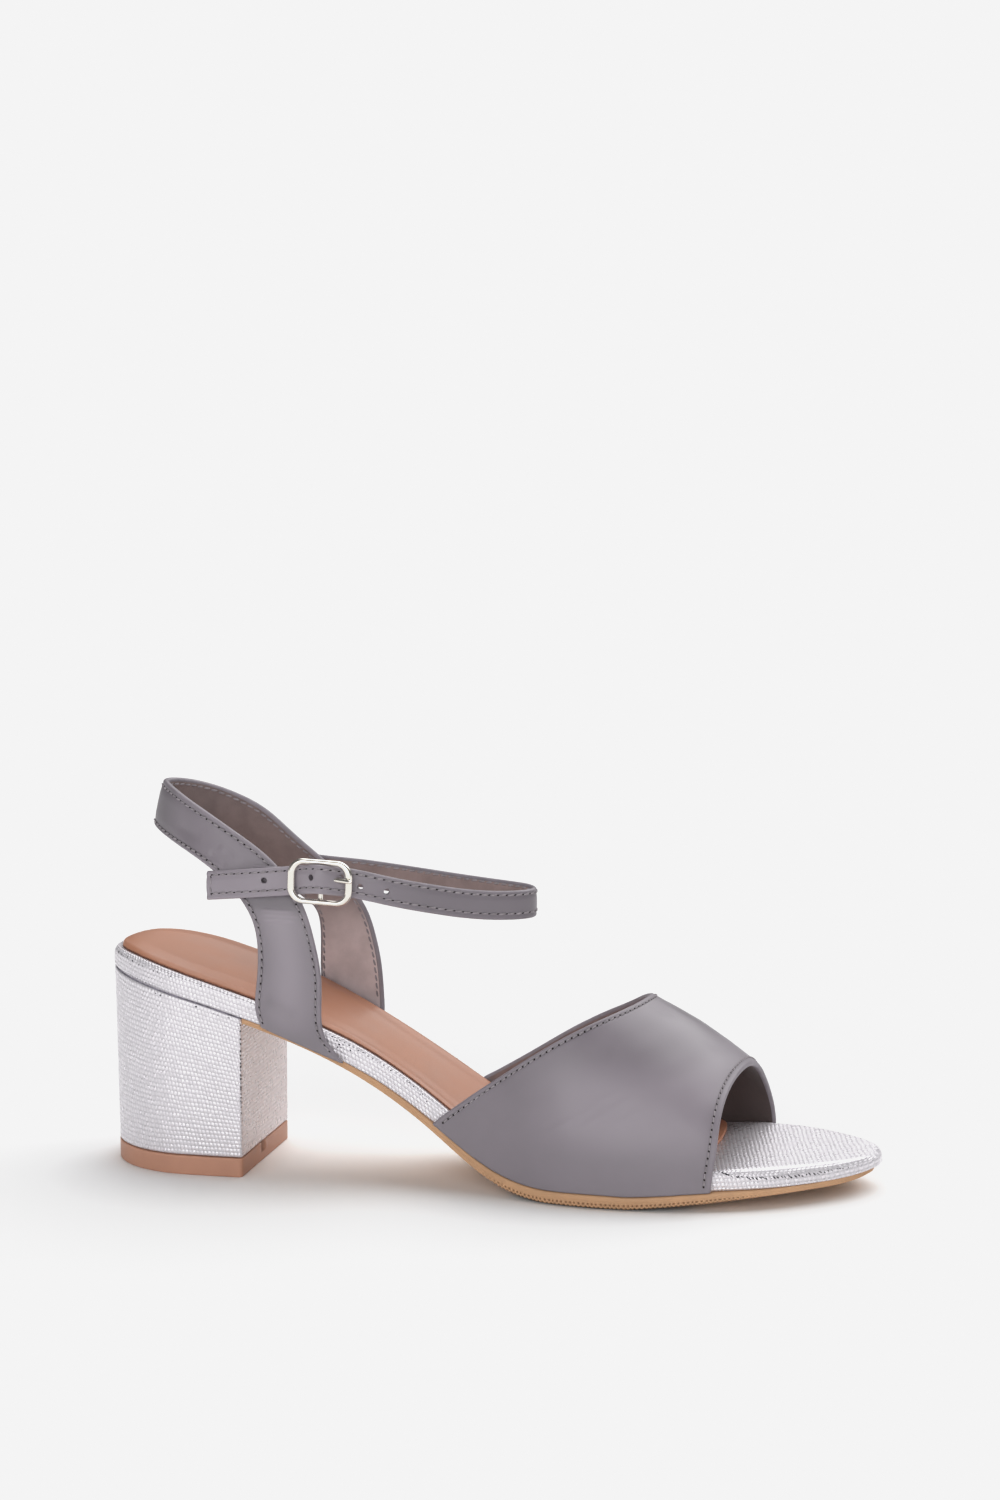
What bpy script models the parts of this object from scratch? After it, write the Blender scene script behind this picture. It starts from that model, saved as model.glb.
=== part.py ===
"""Heeled sandal, right shoe: block heel, wrapped footbed, peep-toe vamp, heel sling and buckled ankle strap.

The tables are in millimetres, in the last's own frame: x runs from the back of the heel to the toe,
y from the outer (lateral, negative) to the inner (medial, positive) side, and z up from the floor.
"""

import math

import bmesh
import bpy
import numpy as np
from mathutils import Matrix, Vector

MM = 0.001
GAP = 0.3  # clearance between pieces that meet

# Driving sizes
SHOE_LENGTH = 236.0
HEEL_ROUND = 30.0  # length over which the heel end of the outline is rounded
TOE_ROUND = 71.0  # the same at the toe
HEEL_BREAST = 47.2  # x of the heel's flat front face
HEEL_BLOCK_ROUND = 27.0  # length over which the back of the block is rounded
HEEL_SEAT_BACK = 1.2  # x of the back of the block under the footbed
HEEL_SETBACK = 2.2  # the same at its foot
TIP_HEIGHT = 5.8
HEEL_INSET = (0.4, 0.3)  # the block's sides inside the outline, at its foot and at its seat
TIP_INSET = 0.2
OUTSOLE_INSET = 0.2
OUTSOLE_BEVEL = 0.9  # taken off the outsole's lower edges
FOOTBED_CORNER = 1.4  # rounding of the footbed's top edges
BLUNT_END = 0.2  # a layer stops this far short of the tip of its outline
SOCK_THICKNESS = 1.2
SOCK_FRONT = 190.0
SOCK_FRONT_ROUND = 14.0
SOCK_INSET = 1.6
SOCK_BACK = 3.2  # x of the sock's back edge
SOCK_PAD = 1.3  # rise of the padded heel seat
SOCK_PAD_END = (58.0, 96.0)  # x over which the pad fades out
EDGE_ROLL = 2.6  # radius of the footbed's top at its two ends
VAMP_WALL = 1.8
SLING_THICKNESS = 2.0
STRAP_THICKNESS = 1.7
STRAP_WIDTH = 8.8
BUCKLE_LENGTH = 19.8
BUCKLE_HEIGHT = 13.6
BUCKLE_CORNER = 4.0
BUCKLE_BAR = (1.9, 1.7)  # width and thickness of the frame's bars
CENTRE_BAR_RADIUS = 0.7
PRONG_RADIUS = 0.55
EYE_RADIUS = 1.6  # outside of the loops round the centre bar
TAB_WIDTH = 6.4
PRONG_SLOT = (5.6, 2.2)  # length and height of the cut in the strap for the prong
PRONG_SLOT_X = 77.6
CUT_REACH = 4.0  # half depth of a cut through a strap

# How finely the curves are drawn
HEEL_STATIONS = 12
TOE_STATIONS = 16
MIDDLE_STEP = 6.0
HEEL_RINGS = 16
VAMP_TURNS = 26
VAMP_PLACES = 12
SLING_RINGS = 64
STRAP_RINGS = 120
BAR_SIDES = 8
SPOTS_ACROSS = 9

# Finishes: colour, roughness, metallic
SILVER = ("silver_foil", (0.70, 0.68, 0.71), 0.35, 0.6)
GREY = ("grey_leather", (0.27, 0.25, 0.27), 0.5, 0.0)
TAN = ("tan_lining", (0.56, 0.33, 0.24), 0.5, 0.0)
RUBBER = ("tan_rubber", (0.46, 0.27, 0.15), 0.7, 0.0)
TIP = ("heel_tip_plastic", (0.42, 0.22, 0.15), 0.45, 0.0)
METAL = ("pale_nickel", (0.80, 0.76, 0.68), 0.15, 1.0)


def spline(knots, values):
    """The smooth curve through the values at the knots, as a function."""
    knots, values = np.array(knots, float), np.array(values, float)
    step = np.diff(knots)
    slope = np.diff(values) / step
    system, change = np.eye(len(knots)), np.zeros(len(knots))
    for i in range(1, len(knots) - 1):
        system[i, i - 1 : i + 2] = step[i - 1], 2 * (step[i - 1] + step[i]), step[i]
        change[i] = 6 * (slope[i] - slope[i - 1])
    bend = np.linalg.solve(system, change)

    def value(x):
        i = min(max(int(np.searchsorted(knots, x)) - 1, 0), len(step) - 1)
        after, before, h = x - knots[i], knots[i + 1] - x, step[i]
        cubic = (bend[i] * before**3 + bend[i + 1] * after**3) / (6 * h)
        left = (values[i] / h - bend[i] * h / 6) * before
        return cubic + left + (values[i + 1] / h - bend[i + 1] * h / 6) * after

    return value


def columns(names, *rows):
    """A table's columns, each as a smooth function of the first one."""
    table = np.array(rows, float)
    return {name: spline(table[:, 0], table[:, i + 1]) for i, name in enumerate(names.split())}


# Outline of the sole from above
OUTLINE = columns(
    "centre half",
    # x, centre line, half width before the ends are rounded
    (0, -0.4, 25.7),
    (30, -0.4, 25.9),
    (45, -0.5, 25.7),
    (60, -0.8, 24.3),
    (80, -1.9, 21.2),
    (100, -1.8, 21.7),
    (120, -1.4, 26.6),
    (140, -2.0, 33.2),
    (155, -1.3, 36.6),
    (170, -0.3, 37.5),
    (200, 2.0, 36.8),
    (215, 3.9, 35.9),
    (236, 6.2, 31.0),
)

# Side profile of the sole: underside of the outsole, then the thickness of each layer
PROFILE = columns(
    "tread outsole footbed inset cup",
    # x, tread height, outsole, footbed, footbed inset from the outline, dish of its top
    (0, 58.4, 1.8, 5.9, 0.9, 1.2),
    (10, 56.8, 1.8, 6.8, 0.7, 1.4),
    (20, 54.7, 1.8, 7.1, 0.4, 1.6),
    (34, 51.1, 1.8, 6.9, 0.1, 1.8),
    (48, 46.9, 1.8, 6.8, 0.0, 1.8),
    (62, 41.8, 1.9, 6.8, 0.0, 1.8),
    (78, 34.3, 2.4, 7.3, 0.0, 1.8),
    (92, 26.0, 3.1, 7.2, 0.2, 1.7),
    (105, 17.0, 3.2, 7.4, 0.9, 1.5),
    (116, 8.9, 3.7, 7.1, 1.8, 1.3),
    (126, 3.3, 4.1, 6.5, 2.3, 1.1),
    (136, 0.6, 4.3, 5.9, 2.4, 0.9),
    (147, -0.2, 4.3, 5.5, 2.4, 0.7),
    (160, -0.3, 4.3, 5.4, 2.4, 0.5),
    (173, 0.5, 4.0, 5.6, 2.4, 0.4),
    (190, 2.3, 3.4, 6.0, 2.0, 0.3),
    (205, 3.9, 2.35, 6.05, 1.0, 0.2),
    (220, 4.6, 2.1, 5.4, 0.7, 0.1),
    (230, 5.2, 2.0, 4.7, 0.7, 0.1),
    (236, 6.8, 1.3, 3.3, 0.7, 0.1),
)

# The last over the vamp: height and place of its top line
INSTEP = columns(
    "height centre",
    # x, height of the ridge, y of the ridge
    (105, 92.0, -2.0),
    (120, 84.0, -2.0),
    (135, 75.6, -1.5),
    (150, 66.6, -1.0),
    (165, 56.8, 0.0),
    (180, 48.4, 0.5),
    (190, 41.2, 1.0),
    (200, 32.6, 1.5),
)

# Front and back edge of the vamp, by the angle round the last from the outer to the inner side
VAMP_EDGES = columns(
    "throat toe",
    # angle, x of the throat edge, x of the toe edge
    (0, 110.1, 192.2),
    (12, 119.7, 193.0),
    (26, 132.5, 193.3),
    (42, 146.7, 193.6),
    (60, 158.0, 194.4),
    (75, 163.4, 195.2),
    (90, 165.5, 195.8),
    (105, 164.6, 196.1),
    (120, 160.6, 196.3),
    (138, 151.6, 196.6),
    (154, 137.4, 197.2),
    (168, 122.3, 197.8),
    (180, 110.0, 198.2),
)
VAMP_FOOT = (105.5, 191.6)  # x of the throat and toe edges where the vamp meets the outsole

# The heel sling, from the outer sole round the back of the ankle to the inner sole
SLING = (
    # x, y, z of the lower, back edge, then of the upper, front edge
    (53.6, -26.9, 47.0, 78.4, -24.8, 37.0),
    (52.0, -26.9, 52.5, 73.4, -25.4, 43.5),
    (52.4, -26.9, 60.0, 72.0, -25.7, 52.0),
    (52.8, -26.6, 68.5, 72.0, -25.6, 62.0),
    (52.0, -26.2, 75.5, 70.2, -25.2, 72.0),
    (50.2, -25.8, 80.4, 67.4, -24.2, 80.8),
    (46.8, -25.0, 85.3, 62.6, -22.8, 89.2),
    (42.0, -24.0, 90.0, 55.4, -21.4, 96.8),
    (34.5, -21.4, 94.7, 46.0, -19.8, 103.1),
    (27.0, -16.2, 97.6, 36.0, -17.6, 108.7),
    (19.0, -8.4, 99.9, 25.5, -11.6, 113.2),
    (15.4, -4.0, 101.0, 19.4, -4.8, 115.1),
    (13.8, 0.0, 101.5, 17.0, 0.4, 115.6),
    (15.4, 4.0, 101.2, 18.9, 6.0, 115.0),
    (19.0, 8.4, 100.2, 24.0, 13.6, 112.8),
    (27.0, 16.2, 98.0, 33.6, 18.2, 108.8),
    (34.1, 20.6, 93.6, 42.5, 19.4, 103.9),
    (40.3, 22.4, 88.2, 50.5, 20.1, 97.0),
    (45.9, 23.2, 82.8, 59.2, 20.8, 89.6),
    (51.6, 23.8, 78.4, 66.8, 21.6, 82.4),
    (56.4, 24.2, 73.0, 72.6, 21.9, 75.0),
    (58.0, 24.6, 65.0, 76.0, 21.8, 66.0),
    (57.9, 24.8, 56.0, 78.0, 21.4, 56.5),
    (58.2, 25.0, 47.0, 79.0, 21.0, 44.0),
)

# The ankle strap, from its seam on the inner side of the sling round the front to its free end
ANKLE = (
    # x, y, z of the middle
    (48.0, 24.4, 85.6),
    (56.0, 23.5, 85.5),
    (63.0, 22.8, 85.2),
    (71.0, 22.6, 84.8),
    (80.0, 21.8, 84.2),
    (92.0, 19.4, 83.5),
    (104.0, 16.0, 83.0),
    (114.5, 12.4, 82.8),
    (123.0, 8.6, 82.9),
    (128.8, 4.4, 83.0),
    (130.6, -0.4, 83.1),
    (128.6, -5.2, 83.3),
    (123.6, -9.4, 83.6),
    (115.6, -13.8, 84.4),
    (104.0, -20.2, 86.8),
    (94.0, -24.8, 89.2),
    (87.0, -27.2, 91.0),
    (81.9, -27.8, 91.9),
    (77.4, -29.7, 92.1),
    (73.0, -31.7, 92.2),
    (68.6, -29.7, 92.1),
    (64.1, -27.8, 91.9),
    (56.5, -27.5, 91.0),
    (47.0, -26.4, 89.8),
    (36.6, -23.0, 88.2),
)

# The buckle, in the plane of the strap
BUCKLE_CENTRE = (73.0, -30.2, 92.2)
CENTRE_BAR_SINK = 1.3  # the centre bar sits this much nearer the ankle than the frame
PRONG_TIP = (83.4, -32.4)  # x and y of the prong's end, past the front bar
TAB_SEAM = (51.5, 65.0)  # x from the tab's end on the sling to where it lifts off to the bar
TAB_LINE = (-25.4, -26.3)  # y of the tab's inner and outer faces on the sling


def outsole_top(x):
    return max(PROFILE["tread"](x), 0.0) + PROFILE["outsole"](x)


def bed_edge(x):
    """Height of the footbed's top at its edge."""
    return outsole_top(x) + PROFILE["footbed"](x)


def half_width(x, inset):
    """Half the sole's width at x, with the outline drawn in by inset all round."""
    heel = min(max((x - inset) / HEEL_ROUND, 0.0), 1.0)
    toe = min(max((SHOE_LENGTH - inset - x) / TOE_ROUND, 0.0), 1.0)
    rounding = math.sqrt(heel * (2 - heel) * toe * (2 - toe))
    return (OUTLINE["half"](x) - inset) * rounding


def sole_edges(x, inset):
    """The outer and inner y of the outline at x."""
    centre, half = OUTLINE["centre"](x), half_width(x, inset)
    return centre - half, centre + half


def bed(x, y):
    """Height of the footbed's dished top."""
    across = (y - OUTLINE["centre"](x)) / max(half_width(x, PROFILE["inset"](x)), 1.0)
    return bed_edge(x) - PROFILE["cup"](x) * (1 - min(abs(across), 1.0) ** 3)


def eased(share):
    """A share of a rounded end, closer together towards its tip."""
    return 1 - math.cos(math.pi / 2 * share)


def stations(start, end):
    """Shared places along the sole between start and end, closer together where it is rounded or bent."""
    heel = [HEEL_ROUND * eased(i / HEEL_STATIONS) for i in range(1, HEEL_STATIONS)]
    toe = [SHOE_LENGTH - TOE_ROUND * eased(i / TOE_STATIONS) for i in range(TOE_STATIONS, 0, -1)]
    middle = list(np.arange(HEEL_ROUND, toe[0] - MIDDLE_STEP / 3, MIDDLE_STEP))
    inside = [x for x in heel + middle + toe if start + GAP < x < end - GAP]
    return [start, *inside, end]


def finish_of(name, colour, roughness, metallic):
    material = bpy.data.materials.get(name)
    if material is None:
        material = bpy.data.materials.new(name)
        material.use_nodes = True
        shader = material.node_tree.nodes["Principled BSDF"]
        shader.inputs["Base Color"].default_value = (*colour, 1.0)
        shader.inputs["Roughness"].default_value = roughness
        shader.inputs["Metallic"].default_value = metallic
    return material


def add_piece(name, mesh, finish, root, helper=False):
    """The named object of a bmesh in the last's frame."""
    bmesh.ops.recalc_face_normals(mesh, faces=mesh.faces)
    data = bpy.data.meshes.new(name)
    mesh.to_mesh(data)
    mesh.free()
    data.transform(Matrix.Scale(MM, 4))
    data.shade_smooth()
    data.set_sharp_from_angle(angle=math.radians(40))
    data.materials.append(finish_of(*finish))
    piece = bpy.data.objects.new(name, data)
    bpy.context.scene.collection.objects.link(piece)
    piece.parent = root
    if helper:
        piece.hide_render = True
        piece.display_type = "WIRE"
    return piece


def loft(rings, closed=False):
    """A solid through rings of as many points each, capped at both ends or closed into a loop."""
    mesh = bmesh.new()
    loops = [[mesh.verts.new(point) for point in ring] for ring in rings]
    around = len(loops[0])
    pairs = list(zip(loops, loops[1:]))
    if closed:
        pairs.append((loops[-1], loops[0]))
    else:
        mesh.faces.new(loops[0])
        mesh.faces.new(loops[-1])
    for first, second in pairs:
        for i in range(around):
            j = (i + 1) % around
            mesh.faces.new((first[i], first[j], second[j], second[i]))
    return mesh


def boolean(piece, helper, operation):
    modifier = piece.modifiers.new(operation.lower(), "BOOLEAN")
    modifier.operation = operation
    modifier.object = helper
    modifier.solver = "EXACT"


def box(low, high):
    mesh = bmesh.new()
    bmesh.ops.create_cube(mesh, size=1.0)
    size, middle = Vector(high) - Vector(low), (Vector(high) + Vector(low)) / 2
    bmesh.ops.scale(mesh, vec=size, verts=mesh.verts)
    bmesh.ops.translate(mesh, vec=middle, verts=mesh.verts)
    return mesh


def rod(start, end, radius, sides=12):
    """A round bar between two points."""
    start, axis = Vector(start), Vector(end) - Vector(start)
    mesh = bmesh.new()
    place = Matrix.Translation(start + axis / 2) @ axis.to_track_quat("Z", "Y").to_matrix().to_4x4()
    bmesh.ops.create_cone(
        mesh, segments=sides, radius1=radius, radius2=radius, depth=axis.length, cap_ends=True, matrix=place
    )
    return mesh


def roll_off(x):
    """How far the footbed's top has rolled down near its two ends."""
    end = min(x - PROFILE["inset"](0.0), SHOE_LENGTH - PROFILE["inset"](SHOE_LENGTH) - x)
    radius = min(EDGE_ROLL, 0.6 * PROFILE["footbed"](x))
    near = min(max(1 - end / radius, 0.0), 1.0)
    return radius * (1 - math.sqrt(1 - near * near))


def footbed_ring(x):
    """Section of the wrapped footbed: square below, rounded over at the top edges, dished across."""
    inset = PROFILE["inset"](x)
    outer, inner = sole_edges(x, inset)
    under, top = outsole_top(x) + GAP / 2, bed_edge(x) - roll_off(x)
    corner = min(FOOTBED_CORNER, 0.35 * (inner - outer), 0.4 * (top - under))
    side = [(0.0, under), (0.0, top - corner), (0.3 * corner, top - 0.3 * corner)]
    ring = [(x, outer + along, z) for along, z in side]
    for share in np.linspace(-1, 1, SPOTS_ACROSS):
        y = (outer + inner) / 2 + share * ((inner - outer) / 2 - corner)
        ring.append((x, y, bed(x, y) - roll_off(x)))
    return ring + [(x, inner - along, z) for along, z in reversed(side)]


def bed_ends():
    """The x of the footbed's blunt heel and toe ends."""
    back, front = PROFILE["inset"](0.0), SHOE_LENGTH - PROFILE["inset"](SHOE_LENGTH)
    return back + BLUNT_END, front - BLUNT_END


def build_footbed(root):
    start, end = bed_ends()
    rings = [footbed_ring(x) for x in stations(start, end)]
    add_piece("footbed", loft(rings), SILVER, root)


def sock_pad(x, share):
    """Rise of the padded heel seat, at a share of the half width from the middle."""
    end = (x - SOCK_PAD_END[0]) / (SOCK_PAD_END[1] - SOCK_PAD_END[0])
    fade = 0.5 + 0.5 * math.cos(math.pi * min(1.0, max(0.0, end)))
    start = min(1.0, (x - SOCK_BACK) / 9.0)
    return SOCK_PAD * fade * start * (2 - start) * (1 - abs(share) ** 6)


def sock_ring(x):
    """Section of the sock lining, which lies in the dish of the footbed and ends square under the vamp."""
    outer, inner = sole_edges(x, PROFILE["inset"](x) + SOCK_INSET)
    middle, half = (outer + inner) / 2, (inner - outer) / 2
    front = min(1.0, (SOCK_FRONT - x) / SOCK_FRONT_ROUND)
    half *= math.sqrt(front * (2 - front))
    shares = np.linspace(-1, 1, SPOTS_ACROSS)
    below, above = [], []
    for share in shares:
        y = middle + share * half
        low = bed(x, y) + GAP
        below.append((x, y, low))
        above.append((x, y, low + SOCK_THICKNESS + sock_pad(x, share)))
    return below + above[::-1]


def build_sock(root):
    rings = [sock_ring(x) for x in stations(SOCK_BACK, SOCK_FRONT - BLUNT_END)]
    add_piece("insole_sock", loft(rings), TAN, root)


def outsole_ring(x):
    """Section of the outsole, with its lower edges taken off."""
    outer, inner = sole_edges(x, OUTSOLE_INSET)
    under, top = max(PROFILE["tread"](x), 0.0), outsole_top(x) - GAP / 2
    bevel = min(OUTSOLE_BEVEL, 0.3 * (top - under), 0.2 * (inner - outer))
    side = [(bevel, under), (0.0, under + bevel), (0.0, top)]
    ring = [(x, outer + along, z) for along, z in side]
    return ring + [(x, inner - along, z) for along, z in reversed(side)]


def outsole_tip():
    return SHOE_LENGTH - OUTSOLE_INSET - BLUNT_END


def build_outsole(root):
    rings = [outsole_ring(x) for x in stations(HEEL_BREAST + GAP, outsole_tip())]
    add_piece("outsole", loft(rings), RUBBER, root)


def heel_ring(share, low, high, insets):
    """Section of the heel: low and high are (start x, height), and insets are those at foot and seat."""
    ring = []
    for (start, height), inset in zip((low, high), insets):
        x = start + share * (HEEL_BREAST - start)
        round_off = min((x - start) / HEEL_BLOCK_ROUND, 1.0)
        half = (OUTLINE["half"](x) - inset) * math.sqrt(round_off * (2 - round_off))
        z = height(x) if callable(height) else height
        ring += [(x, OUTLINE["centre"](x) - half, z), (x, OUTLINE["centre"](x) + half, z)]
    return [ring[0], ring[1], ring[3], ring[2]]


def build_heel(root):
    first = 0.6  # the back of the heel is blunt by this share of a step
    shares = [eased(max(i, first) / (HEEL_RINGS - 1)) for i in range(HEEL_RINGS)]
    foot, seat = (HEEL_SETBACK, TIP_HEIGHT + GAP), (HEEL_SEAT_BACK, lambda x: outsole_top(x) - GAP / 2)
    rings = [heel_ring(share, foot, seat, HEEL_INSET) for share in shares]
    add_piece("heel_block", loft(rings), SILVER, root)
    floor, top = (HEEL_SETBACK, 0.0), (HEEL_SETBACK, TIP_HEIGHT)
    rings = [heel_ring(share, floor, top, (TIP_INSET, TIP_INSET)) for share in shares]
    add_piece("heel_tip", loft(rings), TIP, root)


def last_point(x, angle, drop=0.0):
    """A point of the vamp's outer face: angle runs round the last, drop down the upright wall below it."""
    side = -1 if angle <= 90 else 1
    base = sole_edges(x, PROFILE["inset"](x) - GAP - VAMP_WALL)[0 if side < 0 else 1]
    ridge, spring = INSTEP["centre"](x), bed_edge(x)
    turn = math.radians(angle)
    y = ridge + (base - ridge) * abs(math.cos(turn))
    z = spring + (INSTEP["height"](x) - spring) * math.sin(turn)
    return Vector((x, y, z - drop * (spring - outsole_top(x) - GAP / 2)))


def vamp_point(angle, drop, along):
    """A point of the vamp between its throat (along 0) and its toe edge (along 1)."""
    throat, toe = VAMP_EDGES["throat"](angle), VAMP_EDGES["toe"](angle)
    throat += drop * (VAMP_FOOT[0] - throat)
    toe += drop * (VAMP_FOOT[1] - toe) if angle <= 90 else 0.0
    return last_point(throat + along * (toe - throat), angle, drop)


def sheet(point, rows, places, thickness):
    """A closed sheet: point(row, place) is its outer face, and the wall lies inside it."""
    step = 1e-3

    def inward(row, place):
        ahead, behind = min(place + step, 1.0), max(place - step, 0.0)
        down = point(row, ahead) - point(row, behind)
        i = rows.index(row)
        across = point(rows[min(i + 1, len(rows) - 1)], place) - point(rows[max(i - 1, 0)], place)
        return across.cross(down).normalized()

    outer = [[point(row, place) for place in places] for row in rows]
    inner = [[point(row, place) + inward(row, place) * thickness for place in places] for row in rows]
    return loft([front + back[::-1] for front, back in zip(outer, inner)])


def build_vamp(root):
    turns = [90 * (1 - math.cos(math.pi * i / VAMP_TURNS)) for i in range(VAMP_TURNS + 1)]
    rows = [(0.0, 1.0), (0.0, 0.5)] + [(turn, 0.0) for turn in turns] + [(180.0, 0.5), (180.0, 1.0)]
    places = [i / VAMP_PLACES for i in range(VAMP_PLACES + 1)]
    mesh = sheet(lambda row, along: vamp_point(*row, along), rows, places, VAMP_WALL)
    add_piece("vamp", mesh, GREY, root)


def run_through(rows, count):
    """Evenly spaced readings of a table of points, or of pairs of points, on a curve through its rows."""
    table = np.array(rows, float)
    middle = table.reshape(len(table), -1, 3).mean(axis=1)
    knots = np.concatenate([[0.0], np.cumsum(np.linalg.norm(np.diff(middle, axis=0), axis=1))])
    readings = [spline(knots, column) for column in table.T]
    return [[read(at) for read in readings] for at in np.linspace(0.0, knots[-1], count)]


def band(edges, thickness):
    """Rings of a flat strap between two edges, given as (lower point, upper point) along its run."""
    rings = []
    for i, (low, high) in enumerate(edges):
        before, after = edges[max(i - 1, 0)], edges[min(i + 1, len(edges) - 1)]
        run = (after[0] + after[1]) - (before[0] + before[1])
        depth = run.cross(high - low).normalized() * (thickness / 2)
        rings.append([high + depth, low + depth, low - depth, high - depth])
    return rings


def sling_rings():
    spots = [(Vector(spot[:3]), Vector(spot[3:])) for spot in run_through(SLING, SLING_RINGS)]
    return band(spots, SLING_THICKNESS)


def bring_to_outsole(ring):
    """The end of a strap, brought down to the outsole."""
    for point in ring:
        point.z = outsole_top(point.x) + GAP / 2


def ankle_rings():
    half = Vector((0.0, 0.0, STRAP_WIDTH / 2))
    spots = [Vector(spot) for spot in run_through(ANKLE, STRAP_RINGS)]
    return band([(spot - half, spot + half) for spot in spots], STRAP_THICKNESS)


def build_straps(root):
    """The sling and the ankle strap, sewn into one where they cross on the inner side."""
    rings = sling_rings()
    bring_to_outsole(rings[0])
    bring_to_outsole(rings[-1])
    straps = add_piece("heel_and_ankle_straps", loft(rings), GREY, root)
    ankle = add_piece("ankle_strap_body", loft(ankle_rings()), GREY, root, helper=True)
    length, height = PRONG_SLOT
    middle = Vector((PRONG_SLOT_X, *BUCKLE_CENTRE[1:]))
    reach = Vector((length / 2, CUT_REACH, height / 2))
    slot = add_piece("prong_slot", box(middle - reach, middle + reach), GREY, root, helper=True)
    boolean(ankle, slot, "DIFFERENCE")
    boolean(straps, ankle, "UNION")


def rounded_rectangle(length, height, corner, per_corner=6):
    """Points and outward directions round a rectangle with round corners."""
    for quarter, (sx, sz) in enumerate(((1, 1), (-1, 1), (-1, -1), (1, -1))):
        for i in range(per_corner):
            turn = math.pi / 2 * (quarter + i / (per_corner - 1))
            out = Vector((math.cos(turn), 0.0, math.sin(turn)))
            yield Vector((sx * (length / 2 - corner), 0.0, sz * (height / 2 - corner))) + corner * out, out


def build_buckle_frame(root):
    width, thickness = BUCKLE_BAR
    centre, rings = Vector(BUCKLE_CENTRE), []
    middle_line = rounded_rectangle(BUCKLE_LENGTH - width, BUCKLE_HEIGHT - width, BUCKLE_CORNER - width / 2)
    for point, out in middle_line:
        ring = []
        for i in range(BAR_SIDES):
            turn = 2 * math.pi * (i + 0.5) / BAR_SIDES
            depth = Vector((0.0, math.sin(turn) * thickness / 2, 0.0))
            ring.append(centre + point + out * (math.cos(turn) * width / 2) + depth)
        rings.append(ring)
    frame = add_piece("buckle_frame", loft(rings, closed=True), METAL, root)
    reach = Vector((0.0, CENTRE_BAR_SINK, BUCKLE_HEIGHT / 2 - width / 2))
    bar = rod(centre + reach, centre + Vector((reach.x, reach.y, -reach.z)), CENTRE_BAR_RADIUS)
    boolean(frame, add_piece("centre_bar", bar, METAL, root, helper=True), "UNION")


def centre_bar():
    return Vector(BUCKLE_CENTRE) + Vector((0.0, CENTRE_BAR_SINK, 0.0))


def bar_clearance(name, root, height):
    """What is cut out for the centre bar."""
    half = Vector((0.0, 0.0, height))
    cutter = rod(centre_bar() - half, centre_bar() + half, CENTRE_BAR_RADIUS + GAP)
    return add_piece(name, cutter, METAL, root, helper=True)


def build_prong(root):
    """A loop round the centre bar, drawn out into a tapered pin that rests on the front bar."""
    bar = centre_bar()
    half = Vector((0.0, 0.0, PRONG_RADIUS))
    prong = add_piece("buckle_prong", rod(bar - half, bar + half, EYE_RADIUS, 16), METAL, root)
    tip = Vector((*PRONG_TIP, bar.z))
    root_of_pin = bar + (tip - bar).normalized() * (CENTRE_BAR_RADIUS + 1.5 * GAP)
    pin = add_piece("prong_pin", rod(root_of_pin, tip, PRONG_RADIUS, 10), METAL, root, helper=True)
    boolean(prong, pin, "UNION")
    boolean(prong, bar_clearance("prong_eye", root, TAB_WIDTH), "DIFFERENCE")


def build_tab(root):
    """The folded tab that is sewn to the sling and holds the centre bar in its eye."""
    bar = centre_bar()
    end, leave = TAB_SEAM
    inside, outside = TAB_LINE
    eye = [
        (bar.x + EYE_RADIUS * math.cos(turn), bar.y + EYE_RADIUS * math.sin(turn))
        for turn in np.linspace(math.radians(-140), math.radians(140), 15)
    ]
    outline = [(end, inside), (end, outside), (leave, outside), *eye, (leave, inside)]
    low, high = bar.z - TAB_WIDTH / 2, bar.z + TAB_WIDTH / 2
    mesh = loft([[(x, y, z) for x, y in outline] for z in (low, high)])
    tab = add_piece("buckle_tab", mesh, GREY, root)
    boolean(tab, bar_clearance("tab_eye", root, TAB_WIDTH), "DIFFERENCE")
    back = Vector((1.5 * EYE_RADIUS, CUT_REACH, PRONG_RADIUS + GAP))
    ahead = Vector((CUT_REACH, CUT_REACH, PRONG_RADIUS + GAP))
    notch = add_piece("prong_notch", box(bar - back, bar + ahead), GREY, root, helper=True)
    boolean(tab, notch, "DIFFERENCE")


def clear_scene():
    for old in list(bpy.data.objects):
        bpy.data.objects.remove(old)


def add_root():
    """The empty that carries the shoe, with the middle of its footprint on the origin."""
    back, front = bed_ends()[0], outsole_tip()
    spread = [sole_edges(x, OUTSOLE_INSET) for x in stations(back, front)]
    outer, inner = min(edges[0] for edges in spread), max(edges[1] for edges in spread)
    root = bpy.data.objects.new("sandal", None)
    bpy.context.scene.collection.objects.link(root)
    root.location = (-(back + front) / 2 * MM, -(outer + inner) / 2 * MM, 0.0)
    return root


def main():
    clear_scene()
    root = add_root()
    build_outsole(root)
    build_footbed(root)
    build_sock(root)
    build_heel(root)
    build_vamp(root)
    build_straps(root)
    build_buckle_frame(root)
    build_prong(root)
    build_tab(root)


main()
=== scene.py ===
"""Heeled sandal, right shoe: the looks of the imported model, laid out as an add-on and run as a script.

Tables are in millimetres in the last's own frame: x runs from the back of the heel to the toe,
y from the outer (lateral, negative) to the inner (medial, positive) side, and z up from the floor.
"""

import math

import bpy
import numpy as np
from mathutils import Matrix, Vector


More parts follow.
